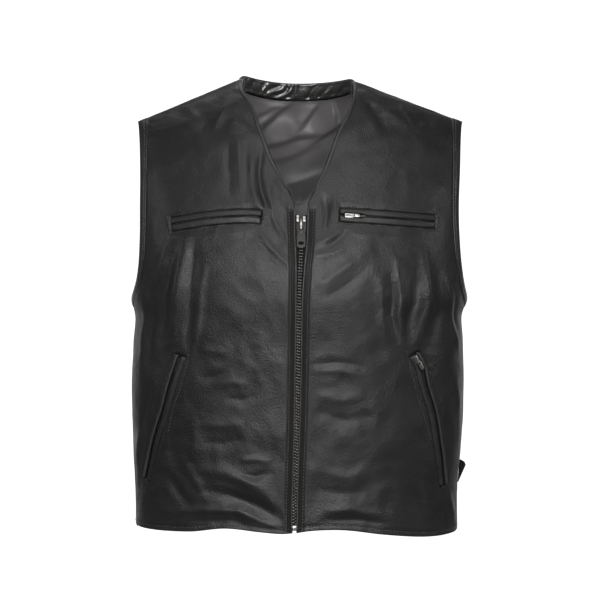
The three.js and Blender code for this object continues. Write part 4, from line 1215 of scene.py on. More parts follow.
def front_place(side):
    """Grid of a front panel: rows from hem to shoulder, columns from the zip or neck to the side or arm."""
    fine = np.array([0, 0.006, 0.02, 0.045, 0.09])
    t = np.concatenate([fine, np.linspace(0.09, 15.98, 132)[1:], np.linspace(16.02, 31.94, 128)[:-1],
                        32 - fine[::-1] * 0.7])
    near = np.array([0, 0.13, 0.44, 1.0, 2.0])
    by_edge, panel = np.arange(3, 14, 1.1), np.linspace(14.4, 233, 94)
    columns = np.concatenate([near, by_edge, panel, 235 - near[::-1]]) / 235
    armhole = armhole_seam(side, FRONT)
    neck = neck_inset(side, 1.0, BAND_SEAM)
    side_around = side * (1 - SEAM / 2 / GIRTH)
    underarm = armhole[2][0]
    v_bottom = base(FRONT, neck[1][:1], neck[2][:1])[0, 2]
    hem = front_hem(zip_middle(-608))
    side_hem = rise_of(FRONT, side_around, front_hem(side * GIRTH))
    low = t <= 16
    upper = mix(MIDDLE_HEIGHT, v_bottom, np.clip((t - 16) / 6, 0, 1))
    height = np.where(low, mix(hem, MIDDLE_HEIGHT, t / 16), upper)
    edge = around_of(zip_middle(height) + side * zip_half_gap(height), height)
    on_neck = t > 22
    neck_at = line_at(neck, (t - 22) / 10)
    arm_at = line_at(armhole, (t - 16) / 16)
    start_around = np.where(on_neck, neck_at[1], edge)
    start_rise = np.where(on_neck, neck_at[2], rise_of(FRONT, edge, height))
    end_around = np.where(low, side_around, arm_at[1])
    end_rise = np.where(low, mix(side_hem, underarm, t / 16), arm_at[2])
    around = mix(start_around[:, None], end_around[:, None], columns)
    rise = mix(start_rise[:, None], end_rise[:, None], columns)
    hem_rise = rise_of(FRONT, around, front_hem(around * GIRTH))
    flat = mix(hem_rise[:, :1], hem_rise[:, -1:], columns)
    rise = rise + (hem_rise - flat) * np.clip(1 - t[:, None] / 16, 0, 1)
    last = top_rise(FRONT, around) - SEAM / 2
    blend = smooth((t[:, None] - 31) / 1.0)
    rise = mix(rise, np.minimum(rise, last), 1 - blend)
    top = last - (32 - t[:, None]) * 20
    rise = mix(rise, top, blend * smooth((t[:, None] - 31.2) / 0.8))
    return np.full(around.shape, FRONT), around, rise


def window_depth(around, rise):
    """Where a front dips under its pockets' lips."""
    around_mm = around * GIRTH
    height = base(FRONT, around, rise)[..., 2]
    dip = np.zeros(around.shape)
    for pocket in POCKETS:
        path = curve_through(pocket["slot"], 24)
        length = slot_length(pocket)
        distance, share = nearest(path, around_mm, height)
        lips = (pocket["lips"][0][1] + pocket["lips"][1][1]) / 2
        run = slot_line(pocket, np.array([0.0, length]), np.zeros(2))
        ends = np.minimum(np.hypot(around_mm - run[0, 0], height - run[0, 1]),
                          np.hypot(around_mm - run[1, 0], height - run[1, 1]))
        beyond = ((share <= 0) | (share >= 1)) & (ends > 0.5)
        inside = np.where(beyond, 0.0, smooth((lips + pocket["rim"] - distance) / 3.2))
        dip -= 5.2 * inside
    return dip


def edge_roll(side, around, rise):
    """The folded edge beside the zip stands up a little between its fold and its topstitching. The second
    value paints a highlight along the fold and makes the strip beside it rougher.
    """
    height = base(FRONT, around, rise)[..., 2]
    edge = zip_middle(height) + side * zip_half_gap(height)
    x = base(FRONT, around, rise)[..., 0]
    distance = side * (x - edge)
    below = smooth((-156 - height) / 8)
    roll = 1.0 * np.exp(-(((distance - 1.1) / 1.5) ** 2)) - 0.7 * np.exp(-(((distance - 8.6) / 1.6) ** 2))
    roll -= 0.8 * np.exp(-(((distance - 4.6) / 2.6) ** 2))
    strip = smooth((distance - 1.8) / 1.0) * smooth((9.6 - distance) / 1.2)
    # Painted highlight along the fold; the strip only turns rougher, since the colour never drops below the
    # hide's own
    fold = smooth((2.0 - distance) / 1.2)
    return roll * below, (1.7 * fold - 3.0 * strip) * below


def edge_distance(place):
    """Millimetres over the cloth from every point of a grid to its nearest border."""
    points = base(*place)
    return border_distance(place[1].shape, arc(points, 0), arc(points, 1))


class VEST_OT_fronts(bpy.types.Operator):
    """Make the two leather fronts with their folds, folded edges and pocket openings"""

    bl_idname = "vest.fronts"
    bl_label = "Fronts"

    def execute(self, context):
        leather = shared_leather("Nappa leather", context)
        for name, side in SIDES.items():
            place = front_place(side)
            _, around, rise = place
            half = rounded(edge_distance(place), LEATHER / 2)
            roll, wear = edge_roll(side, around, rise)
            lift = relief(FRONT, around, rise) + window_depth(around, rise) + roll
            make_shell(f"front_{name}", place, -LEATHER / 2, half, leather,
                       lift=lift, wear=wear)
        return {"FINISHED"}


def back_place(low_edge, side_gap, seam_inset, top_drop, neck_drop, rows, neck_steps, shoulder_steps):
    """Grid of the back: rows from hem to shoulders and neck, columns from side to side."""
    fine = np.array([0, 0.0004, 0.0012, 0.0028, 0.0056])
    low = np.concatenate([fine, np.linspace(0.0056, 1, rows)[1:]])
    high = np.concatenate([np.linspace(0, 1 - 0.009, rows)[1:], 1 - fine[::-1][1:] * 0.9])
    climb = np.concatenate([low - 1, high])
    halves = []
    for side in (-1, 1):
        seam = armhole_seam(side, BACK)
        armhole = inset(seam, -side * seam_inset) if seam_inset else seam
        side_around = side * (1 - side_gap / GIRTH)
        underarm = armhole[2][0]
        neck_share = neck_point_around(side) / armhole[1][-1]
        inner = np.sin(np.linspace(0, math.pi / 2, neck_steps)) * neck_share
        outer = mix(neck_share, 1, np.linspace(0, 1, shoulder_steps))[1:]
        near = 1 - np.array([1.8, 0.9, 0.4, 0.12, 0]) * 1.1 / 235
        share = np.concatenate([inner, outer[outer < near[0]], near])
        arm_at = line_at(armhole, climb)
        end_around = np.where(climb <= 0, side_around, arm_at[1])[:, None]
        end_rise = np.where(climb <= 0, underarm, arm_at[2])[:, None]
        around = share * end_around

        def top_of(where, side=side):
            shoulder = top_rise(BACK, where) - SEAM / 2 - top_drop
            out = half_width(0) * section(where)[0]
            neck = np.minimum(shoulder, rise_of(BACK, where, back_neck_height(out) - neck_drop))
            return np.where(np.abs(out) > NECK_POINT[side], shoulder, neck)

        underarm_height = base(BACK, np.array([side_around]), np.array([underarm]))[0, 2]
        level = rise_of(BACK, around, underarm_height)
        top = top_of(around)
        end_level = rise_of(BACK, end_around, underarm_height)
        end_climb = (end_rise - end_level) / (top_of(end_around) - end_level)
        edgeward = np.where(climb[:, None] >= 1, 0, share**2)
        up = mix(level, top, mix(climb[:, None], end_climb, edgeward))
        down = mix(rise_of(BACK, around, low_edge), level, 1 + climb[:, None])
        rise = np.where(climb[:, None] <= 0, down, up)
        halves.append((around, rise))
    around = np.hstack([halves[0][0][:, :0:-1], halves[1][0]])
    rise = np.hstack([halves[0][1][:, :0:-1], halves[1][1]])
    return np.full(around.shape, BACK), around, rise


class VEST_OT_back(bpy.types.Operator):
    """Make the leather back with its folds"""

    bl_idname = "vest.back"
    bl_label = "Back"

    def execute(self, context):
        leather = shared_leather("Nappa leather", context)
        place = back_place(-609, SEAM / 2, 0, 0, 0, 104, 36, 54)
        half = rounded(edge_distance(place), LEATHER / 2)
        make_shell("back", place, -LEATHER / 2, half, leather,
                   lift=relief(BACK, *place[1:]))
        return {"FINISHED"}


class VEST_OT_lining(bpy.types.Operator):
    """Make the satin lining that hangs loose inside the back"""

    bl_idname = "vest.lining"
    bl_label = "Lining"

    def execute(self, context):
        satin = shared("Satin lining", lambda: satin_material(context.scene.vest_leather))
        face, around, rise = back_place(-586, 4, 3, 5, 8, 90, 40, 44)
        points = base(face, around, rise)
        edge = border_distance(around.shape, arc(points, 0), arc(points, 1))
        around_mm = around * GIRTH
        height = points[..., 2]
        hang = 2.4 + (6.6 - 5 * smooth((-52 - height) / 70)) * smooth(edge / 50)
        loose = smooth(edge / 30)
        fold = fold_lift(LINING_FOLDS, BACK, around_mm, height)
        lift = fold * smooth(edge / 24) + loose * 0.3 * lumps(around_mm, rise, 77, 16, 50)
        for path, spread, out in LINING_STEPS:
            distance, share, facing = nearest(path, around_mm, height, True)
            step = np.tanh(facing * distance / spread) * np.exp(-distance / 22)
            lift += out * step * np.sin(np.pi * np.clip(share * 0.9 + 0.05, 0, 1)) ** 0.5 * smooth(edge / 10)
        half = rounded(edge, 0.5)
        make_shell("back_lining", (face, around, rise), -LEATHER - 0.5, half, satin,
                   lift=lift - hang)
        return {"FINISHED"}


class VEST_OT_bands(bpy.types.Operator):
    """Make the bands round the armholes and the strips along the neck"""

    bl_idname = "vest.bands"
    bl_label = "Bands"

    def execute(self, context):
        leather = shared_leather("Pressed leather trim", context)
        for name, side in SIDES.items():
            edge = armhole_line(side)
            share = edge_steps(12, ARMHOLE_BAND - BAND_SEAM, 1.5)
            rows = [inset(edge, side * s * (ARMHOLE_BAND - BAND_SEAM), True) for s in share]
            face = np.stack([row[0] for row in rows], 1)
            around = np.stack([row[1] for row in rows], 1)
            rise = np.stack([row[2] for row in rows], 1)
            width = share * (ARMHOLE_BAND - BAND_SEAM)
            distance = np.broadcast_to(np.minimum(width, width[-1] - width), around.shape)
            pad = 0.35 * np.sin(np.pi * share) - 0.45 * np.exp(-(((width - BAND_STITCH) / 1.1) ** 2))
            beside = np.exp(-(((width - BAND_STITCH) / 2.5) ** 2))
            pucker = 0.12 * np.sin(np.arange(len(edge[1])) * 1.9)[:, None] * beside
            lift = np.broadcast_to(pad, around.shape) + pucker
            half = rounded(distance, 1.4)
            make_shell(f"armhole_band_{name}", (face, around, rise), -0.95, half, leather,
                       wrap=True, lift=lift)
        for name, side in SIDES.items():
            share = edge_steps(8, 6, 1.2)
            rows = [neck_inset(side, s) for s in share]
            around = np.stack([row[1] for row in rows], 1)
            rise = np.stack([row[2] for row in rows], 1)
            top = top_rise(FRONT, around) - SEAM / 2
            rise = np.minimum(rise, top)
            rise[-1] = top[-1]
            face = np.full(around.shape, FRONT)
            points = base(face, around, rise)
            distance = border_distance(around.shape, arc(points, 0), arc(points, 1))
            lift = np.broadcast_to(0.5 * np.sin(np.pi * share) ** 0.8, around.shape)
            make_shell(f"neck_edge_{name}", (face, around, rise), -1.0, rounded(distance, 1.3),
                       leather, lift=lift)
        return {"FINISHED"}


NAPE_STEPS = 60
CORNER = 8.0  # the collar's ends are turned round this corner


def collar_walls():
    """The collar's outline in plan with its lower and upper heights, from right to left."""
    tips = {-1: (18, 38.5), 1: (15, 33.5)}
    knots = []
    for side in (-1, 1):
        front = line_at(neck_line(side), np.array([1 - 0.055]))
        half = [(base(*front)[0], 17.0, 24.0)]
        for i in range(NAPE_STEPS + 1):
            share = i / NAPE_STEPS
            around = neck_point_around(side) * math.cos(share * math.pi / 2)
            out = half_width(0) * section(np.float64(around))[0]
            if i == 0:
                point = base(FRONT, around, top_rise(FRONT, np.float64(around)))
            else:
                point = base(BACK, around, rise_of(BACK, around, back_neck_height(out)))
            level = smooth(share)
            tip = half_width(0) * section(np.float64(neck_point_around(side)))[0]
            from_tip = min(abs(tip - out), CORNER)
            drop = CORNER - math.sqrt(CORNER ** 2 - (CORNER - from_tip) ** 2)
            half.append((point, mix(tips[side][0], 4, level), mix(tips[side][1], 28, level) - drop))
        knots.extend(half[:-1] if side < 0 else half[::-1])
    return knots


class VEST_OT_collar(bpy.types.Operator):
    """Make the low leather stand inside the neck"""

    bl_idname = "vest.collar"
    bl_label = "Collar"

    def execute(self, context):
        leather = shared_leather("Polished collar leather", context)
        knots = collar_walls()
        points = np.array([knot[0] for knot in knots])
        low = np.array([knot[1] for knot in knots])
        run = np.concatenate([[0], np.cumsum(np.linalg.norm(np.diff(points[:, :2], axis=0), axis=1))])
        reach = (run[:, None] - run[None]) / 5.5
        weight = np.exp(-reach * reach) * np.gradient(run)[None]
        high = weight @ np.array([knot[2] for knot in knots]) / weight.sum(1)
        along = np.gradient(points[:, :2], axis=0)
        for _ in range(3):
            along[1:-1] = (along[:-2] + along[1:-1] * 2 + along[2:]) / 4
        step = unit(np.stack([along[:, 1], -along[:, 0], np.zeros(len(along))], 1))
        share = edge_steps(16, COLLAR_HEIGHT, 1.3)
        height = mix(low[:, None], high[:, None], share)
        lean_in = np.maximum(0.2 * (height - np.minimum(points[:, 2], high)[:, None]), -2)
        place = np.repeat(points[:, None], len(share), 1)
        place[..., 2] = height
        border = np.minimum(share * (high - low)[:, None], (1 - share) * (high - low)[:, None])
        ends = np.minimum(run, run[-1] - run)[:, None]
        half = rounded(np.minimum(border, ends), 1.2)
        turn = lumps(run[:, None] + 0 * height, height, 83, 30, 90)
        slant = run[:, None] * 0.6 - height * 0.72 + 6 * turn
        pull = np.abs(np.sin(slant / 4.0)) ** 0.7 - 0.6
        wrinkle = (2.9 + 0.5 * turn) * pull * smooth(border / 4) + 1.6 * np.sin(np.pi * share)
        up = share * COLLAR_HEIGHT
        roll = 0.9 * np.exp(-((COLLAR_HEIGHT - up - 2.5) / 2.2) ** 2)
        groove = -0.3 * np.exp(-((up - 3.2) / 1.0) ** 2)
        tuck = 0.7 * np.exp(-((up / 2.0) ** 2))
        plain = 2.8 + 1.3 + lean_in  # in from the seam to the middle of the leather, without its relief
        inward = plain + wrinkle + roll + groove + tuck
        inner = place + step[:, None] * (inward + half)[..., None]
        outer = place + step[:, None] * (plain - half)[..., None]
        uv = np.stack([np.broadcast_to(run[:, None], height.shape), height], -1)
        # Painted light: the whole collar is lightened towards the rubbed colour, most at its rounded edges,
        # where real edge wear adds to it
        wear = 1.0 - 0.4 * half / half.max()
        obj = add_object("collar_band", shell_mesh("collar_band", outer, inner, False, uv, wear))
        dress(obj, leather)
        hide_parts("collar_band")
        line = place + step[:, None] * (inward + 1.25)[..., None]
        at = int(np.argmin(np.abs(share * 24 - 3.2)))
        sew(context, [line[2:-2, at] + step[2:-2] * 0.5], "collar_stitching")
        return {"FINISHED"}


# Sewing: stitches and teeth along lines, by Geometry Nodes

def along_line_tree(name, kind):
    """A tree that sets one small piece at every pitch along its lines, turned along them."""
    tree = bpy.data.node_groups.new(name, "GeometryNodeTree")
    face = tree.interface
    face.new_socket("Geometry", in_out="INPUT", socket_type="NodeSocketGeometry")
    for label, size in (("Pitch", 0.0036), ("Length", 0.0027), ("Width", 0.0007), ("Depth", 0.0006)):
        socket = face.new_socket(label, in_out="INPUT", socket_type="NodeSocketFloat")
        socket.default_value = size
        socket.subtype = "DISTANCE"
    face.new_socket("Facing", in_out="INPUT", socket_type="NodeSocketVector").default_value = (0, -1, 0)
    seed = face.new_socket("Seed", in_out="INPUT", socket_type="NodeSocketInt")
    seed.default_value = 3
    face.new_socket("Unevenness", in_out="INPUT", socket_type="NodeSocketFloat").default_value = 0.1
    face.new_socket("Material", in_out="INPUT", socket_type="NodeSocketMaterial")
    face.new_socket("Geometry", in_out="OUTPUT", socket_type="NodeSocketGeometry")
    given = add_node(tree, "NodeGroupInput").outputs
    line = add_node(tree, "GeometryNodeMeshToCurve", {"Mesh": given["Geometry"]})
    points = add_node(tree, "GeometryNodeCurveToPoints", {"Curve": line.outputs[0], "Length": given["Pitch"]},
                      mode="LENGTH")
    along = add_node(tree, "FunctionNodeAlignRotationToVector", {
        "Vector": points.outputs["Tangent"],
    }, axis="Z")
    turned = add_node(tree, "FunctionNodeAlignRotationToVector", {
        "Rotation": along.outputs["Rotation"],
        "Vector": given["Facing"],
    }, axis="X", pivot_axis="Z")
    if kind == "stitch":
        ball = add_node(tree, "GeometryNodeMeshUVSphere", {"Segments": 6, "Rings": 4, "Radius": 0.5})
        body = ball.outputs["Mesh"]
    else:
        block = add_node(tree, "GeometryNodeMeshCube", {"Size": (1.25, 1.25, 1.25)})
        body = add_node(tree, "GeometryNodeSubdivisionSurface", {"Mesh": block.outputs["Mesh"], "Level": 1,
                                                                "Edge Crease": 0.5}).outputs["Mesh"]
    size = add_node(tree, "ShaderNodeCombineXYZ", {
        "X": given["Depth"],
        "Y": given["Width"],
        "Z": given["Length"],
    })
    piece = add_node(tree, "GeometryNodeTransform", {"Geometry": body, "Scale": size.outputs["Vector"]})
    random = add_node(tree, "FunctionNodeRandomValue", {"Seed": given["Seed"]}, data_type="FLOAT")
    least, most = (
        add_node(tree, "ShaderNodeMath", {0: 1.0, 1: given["Unevenness"]}, operation=operation)
        for operation in ("SUBTRACT", "ADD")
    )
    swing = add_node(tree, "ShaderNodeMapRange", {
        "Value": random.outputs[1],
        "To Min": least.outputs[0],
        "To Max": most.outputs[0],
    })
    placed = add_node(tree, "GeometryNodeInstanceOnPoints", {
        "Points": points.outputs["Points"],
        "Instance": piece.outputs["Geometry"],
        "Rotation": turned.outputs["Rotation"],
        "Scale": swing.outputs["Result"],
    })
    real = add_node(tree, "GeometryNodeRealizeInstances", {"Geometry": placed.outputs["Instances"]})
    shade = add_node(tree, "GeometryNodeSetShadeSmooth", {"Geometry": real.outputs["Geometry"]})
    dressed = add_node(tree, "GeometryNodeSetMaterial", {
        "Geometry": shade.outputs["Geometry"],
        "Material": given["Material"],
    })
    add_node(tree, "NodeGroupOutput", {"Geometry": dressed.outputs["Geometry"]})
    return tree


def set_along(lines, name, kind, inputs, material, body="vest"):
    """Runs a tree over lines of millimetre points and keeps its result as a plain mesh."""
    points, edges = [], []
    for line in lines:
        start = len(points)
        points.extend((np.asarray(line) * MM).tolist())
        edges.extend((start + i, start + i + 1) for i in range(len(line) - 1))
    mesh = bpy.data.meshes.new(name + "_line")
    mesh.from_pydata(points, edges, [])
    guide = add_object(name + "_line", mesh)
    tree = bpy.data.node_groups.get(kind) or along_line_tree(kind, kind)
    modifier = guide.modifiers.new(kind, "NODES")
    modifier.node_group = tree
    for item in tree.interface.items_tree:
        if item.in_out == "INPUT" and item.name in inputs:
            modifier[item.identifier] = inputs[item.name]
    bpy.context.view_layer.update()
    made = bpy.data.meshes.new_from_object(guide.evaluated_get(bpy.context.evaluated_depsgraph_get()))
    bpy.data.objects.remove(guide)
    if not made.vertices:
        raise RuntimeError(f"{name} came out empty")
    made.name = name
    return dress(add_object(name, made), material, body)


def sew(context, lines, name):
    """A row of stitches along each line of points."""
    settings = context.scene.vest_sewing
    thread = shared("Sewing thread", thread_material)
    inputs = {
        "Pitch": settings.pitch,
        "Length": settings.length,
        "Width": settings.thickness,
        "Depth": settings.thickness * 0.8,
        "Seed": context.scene.vest_stage.seed,
        "Unevenness": 0.12,
        "Material": thread,
    }
    return set_along(lines, name, "stitch", inputs, thread)


class VEST_OT_stitching(bpy.types.Operator):
    """Sew the topstitching along the zip, hem, pockets, neck and armholes"""

    bl_idname = "vest.stitching"
    bl_label = "Stitching"

    def execute(self, context):
        lines = []
        for line in STITCHED[2:]:
            lines.append(lay(*line, np.full(len(line[1]), STITCH_LEVEL), lift=relief_of(*line)))
        for side, line in zip((-1, 1), STITCHED[:2]):
            lift = relief_of(*line) + edge_roll(side, line[1], line[2])[0]
            lines.append(lay(*line, np.full(len(line[1]), STITCH_LEVEL), lift=lift))
        sew(context, lines, "panel_stitching")
        bands = []
        for side in SIDES.values():
            line = inset(armhole_line(side), side * BAND_STITCH, True)
            closed = tuple(np.append(part, part[:1]) for part in line)
            bands.append(lay(*closed, np.full(len(closed[1]), 0.45), lift=np.zeros(len(closed[1]))))
            face, around, rise = neck_inset(side, 0.72)
            level = np.full(len(around), 0.62)
            bands.append(lay(face, around, rise, level, lift=np.zeros(len(around)))[10:-4])
        sew(context, bands, "band_stitching")
        return {"FINISHED"}


def zip_place(start, end, bottom, top, rows=120):
    height = np.linspace(bottom, top, rows)[:, None]
    off = np.linspace(start, end, 10)[None]
    around = around_of(zip_middle(height) + off, height)
    return np.full(around.shape, FRONT), around, rise_of(FRONT, around, height)


class VEST_OT_zip(bpy.types.Operator):
    """Make the main zip: its tapes, its interlocked teeth and its stop"""

    bl_idname = "vest.zip"
    bl_label = "Main zip"

    def execute(self, context):
        settings = context.scene.vest_zip
        tape = shared_woven("Woven zip tape")
        bright = shared_metal("Bright nickel")
        rubbed = shared_metal("Rubbed nickel")
        for name, side in SIDES.items():
            face, around, rise = zip_place(side * -0.5, side * 15, -604, -167)
            points = base(face, around, rise)
            edge = border_distance(around.shape, arc(points, 0), arc(points, 1))
            lift = -1.4 * smooth((4.2 - arc(points, 1)) / 1.6)
            half = rounded(edge, 0.5)
            make_shell(f"zip_tape_{name}", (face, around, rise), -3.4, half, tape,
                       lift=lift)
        rows = []
        for side, shift in ((-1, 0.0), (1, 0.5)):
            height = np.arange(-599 + shift * settings.pitch / MM, -196, 1.1)
            around = around_of(zip_middle(height) + side * 1.45, height)
            rise = rise_of(FRONT, around, height)
            rows.append(lay(np.full(len(around), FRONT), around, rise, np.full(len(around), -3.8),
                            lift=np.zeros(len(around))))
        inputs = {
            "Pitch": settings.pitch,
            "Length": settings.pitch * 0.36,
            "Width": settings.tooth_width,
            "Depth": 2.2 * MM,
            "Unevenness": 0.0,
            "Material": rubbed,
        }
        teeth = set_along(rows, "zip_teeth_row", "tooth", inputs, rubbed)
        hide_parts("zip_teeth")
        bevelled("zip_stop", bright, "vest", settings.bevel)
        return {"FINISHED"}


def bevelled(node, material, body, width, segments=2):
    """A copy of a solid with its edges rounded, in its place."""
    source = frame["nodes"][node]
    mesh = source.data.copy()
    mesh.name = node + "_finished"
    shape = bmesh.new()
    shape.from_mesh(mesh)
    bmesh.ops.remove_doubles(shape, verts=shape.verts, dist=1e-6)
    bmesh.ops.dissolve_limit(shape, angle_limit=math.radians(4), verts=shape.verts, edges=shape.edges)
    sharp = [edge for edge in shape.edges if edge.is_manifold and edge.calc_face_angle(0) > math.radians(25)]
    bmesh.ops.bevel(shape, geom=sharp, offset=width, segments=segments, profile=0.6, affect="EDGES",
                    clamp_overlap=True)
    bmesh.ops.triangulate(shape, faces=shape.faces)
    shape.to_mesh(mesh)
    shape.free()
    mesh.polygons.foreach_set("use_smooth", [True] * len(mesh.polygons))
    obj = add_object(node + "_finished", mesh)
    mesh.set_sharp_from_angle(angle=math.radians(38))
    dress(obj, material, body)
    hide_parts(node)
    return obj


def slider_place(points):
    """Slider millimetres (across, up, out of the zip) as places on the vest."""
    return SLIDER_SEAT + np.asarray(points) @ np.array([SLIDER_RIGHT, SLIDER_UP, SLIDER_OUT])


def slider_wings(material):
    """The two raised wings on the main slider's face, as rounded blocks in one mesh."""
    shape = bmesh.new()
    for low, high in SLIDER_WINGS:
        corners = np.array([[(low, high)[(k >> axis) & 1][axis] for axis in range(3)] for k in range(8)])
        spots = [shape.verts.new(spot) for spot in slider_place(corners) * MM]
        for ring in ((0, 2, 3, 1), (4, 5, 7, 6), (0, 1, 5, 4), (2, 6, 7, 3), (0, 4, 6, 2), (1, 3, 7, 5)):
            shape.faces.new([spots[k] for k in ring])
    bmesh.ops.recalc_face_normals(shape, faces=shape.faces)
    bmesh.ops.bevel(shape, geom=shape.edges[:], offset=0.7 * MM, segments=3, profile=0.5, affect="EDGES",
                    clamp_overlap=True)
    mesh = bpy.data.meshes.new("zip_slider_wings")
    shape.to_mesh(mesh)
    shape.free()
    mesh.polygons.foreach_set("use_smooth", [True] * len(mesh.polygons))
    return dress(add_object("zip_slider_wings", mesh), material)


class VEST_OT_pulls(bpy.types.Operator):
    """Finish the sliders and pulls of every zip in plated metal"""

    bl_idname = "vest.pulls"
    bl_label = "Sliders and pulls"

    def execute(self, context):
        settings = context.scene.vest_zip
        bright = shared_metal("Bright nickel")
        plated = shared_metal("Dark nickel")
        rubbed = shared_metal("Rubbed nickel")
        moving = {names[0]: body for body, names in frame_bodies().items() if body != "vest"}
        slider = bevelled("zip_slider", plated, "vest", settings.bevel)
        # Painted highlight and painted shade: faces more than 1.4 mm out of the seat take the bright nickel
        # and the rest the dark nickel, standing in for light on the raised parts and shade between them
        slider.data.materials.append(bright)
        for polygon in slider.data.polygons:
            level = np.dot(np.array(polygon.center) / MM - SLIDER_SEAT, SLIDER_OUT)
            polygon.material_index = int(level > 1.4)
        # The raised wings take the bright nickel as a painted highlight
        slider_wings(bright)
        bevelled("zip_pull", plated, moving["zip_pull"], settings.bevel)
        for pocket in POCKETS:
            name = pocket["name"]
            # Sliders and pulls that the lips hide take the dark nickel, painted shade for the slot they sit
            # in
            finish = rubbed if name == "hand_pocket_left" else bright if pocket["gape"] else plated
            small = settings.bevel * 0.6
            bevelled(name + "_slider", finish, "vest", small)
            bevelled(name + "_pull", finish, moving.get(name + "_pull", "vest"), small)
        return {"FINISHED"}


def frame_bodies():
    return frame["record"]["behaviour"]["bodies"]


def pocket_strip(pocket, asides_start, asides_end, start, end, share, rows):
    """Grid of a strip beside or under a slot."""
    distance = np.linspace(start, end, rows)[:, None]
    aside = mix(asides_start(distance), asides_end(distance), share)
    spots = slot_line(pocket, np.broadcast_to(distance, aside.shape), aside)
    around = spots[..., 0] / GIRTH
    return np.full(around.shape, FRONT), around, rise_of(FRONT, around, spots[..., 1])


class VEST_OT_pockets(bpy.types.Operator):
    """Make the folded lips of the four pockets and the zips behind them"""

    bl_idname = "vest.pockets"
    bl_label = "Pockets"

    def execute(self, context):
        leather = shared_leather("Pressed leather trim", context)
        tape = shared_woven("Woven zip tape")
        rubbed = shared_metal("Rubbed nickel")
        plated = shared_metal("Dark nickel")
        for pocket in POCKETS:
            length = slot_length(pocket)
            ends = []
            for sign, (lip, width) in zip((1, -1), pocket["lips"]):
                share = edge_steps(10, width, 1.2)
                place = pocket_strip(pocket, lambda d, s=sign: s * slot_half(pocket, d),
                                     lambda d, s=sign, w=width: np.full_like(d, s * w), 0, length, share, 90)
                half = rounded(edge_distance(place), 1.0)
                from_slot = share * width
                puff = 0.45 * np.exp(-(((from_slot - 2.4) / 1.8) ** 2)) - 0.6 * smooth((share - 0.6) / 0.4)
                puff = puff - 0.9 * np.exp(-((from_slot / 1.1) ** 2))
                run = np.linspace(0, length, 90)[:, None] + 0 * share
                # Painted highlight: a light line along each outer lip, 2.2 mm from the slot; the -0.7 only
                # makes the lips rougher
                painted_highlight = 2.2 * np.exp(-(((from_slot - 2.2) / 1.3) ** 2)) if lip == "outer" else 0
                uneven = 0.3 * lumps(run, sign * 40 + share * 4, 91, 9, 30) * np.sin(np.pi * share)
                make_shell(f"{pocket['name']}_lip_{lip}", place, -0.55, half,
                           leather, lift=relief_of(*place) + puff + uneven, wear=painted_highlight - 0.7)
            reach = [width + 3 for _, width in pocket["lips"]]
            share = np.linspace(0, 1, 12)
            place = pocket_strip(pocket, lambda d: np.full_like(d, -reach[1]),
                                 lambda d: np.full_like(d, reach[0]), -3, length + 3, share, 60)
            half = rounded(edge_distance(place), 0.5)
            make_shell(f"{pocket['name']}_zip", place, -3.6, half, tape,
                       lift=np.zeros(place[1].shape))
            distance = np.arange(pocket["pivot"] + 3.2, length - 2, 0.8)
            for sign in (-1, 1):
                spots = slot_line(pocket, distance, np.full(len(distance), sign * 0.55))
                around = spots[:, 0] / GIRTH
                rise = rise_of(FRONT, around, spots[:, 1])
                ends.append(lay(np.full(len(around), FRONT), around, rise, np.full(len(around), -2.75),
                                lift=np.zeros(len(around))))
            # The hand pockets' teeth take the dark nickel, painted shade for the deep slot they sit in
            inputs = {
                "Pitch": 1.8 * MM,
                "Length": 0.9 * MM,
                "Width": 1.8 * MM,
                "Depth": 0.7 * MM,
                "Unevenness": 0.0,
                "Material": plated if pocket["name"].startswith("hand") else rubbed,
            }
            set_along(ends, pocket["name"] + "_teeth", "tooth", inputs, inputs["Material"])
        return {"FINISHED"}


class VEST_OT_tab(bpy.types.Operator):
    """Make the small tab in the side seam"""

    bl_idname = "vest.tab"
    bl_label = "Side tab"

    def execute(self, context):
        tape = shared_woven("Woven side tab")
        tab = bevelled("side_tab", tape, "vest", 0.2 * MM)
        return {"FINISHED"}


# Stage

def area_light(name, place, target, size, power, colour="#ffffff"):
    data = bpy.data.lights.new(name, "AREA")
    data.shape = "RECTANGLE"
    data.size, data.size_y = size
    data.energy = power
    data.color = to_linear(colour)[:3]
    light = bpy.data.objects.new(name, data)
    light.location = place
    light.visible_camera = False
    light.rotation_euler = (Vector(target) - Vector(place)).to_track_quat("-Z", "Y").to_euler()
    bpy.context.scene.collection.objects.link(light)
    return light


def stage_board(name, corners, material):
    mesh = bpy.data.meshes.new(name)
    mesh.from_pydata(corners, [], [(0, 1, 2, 3)])
    mesh.materials.append(material)
    board = add_object(name, mesh)
    return board


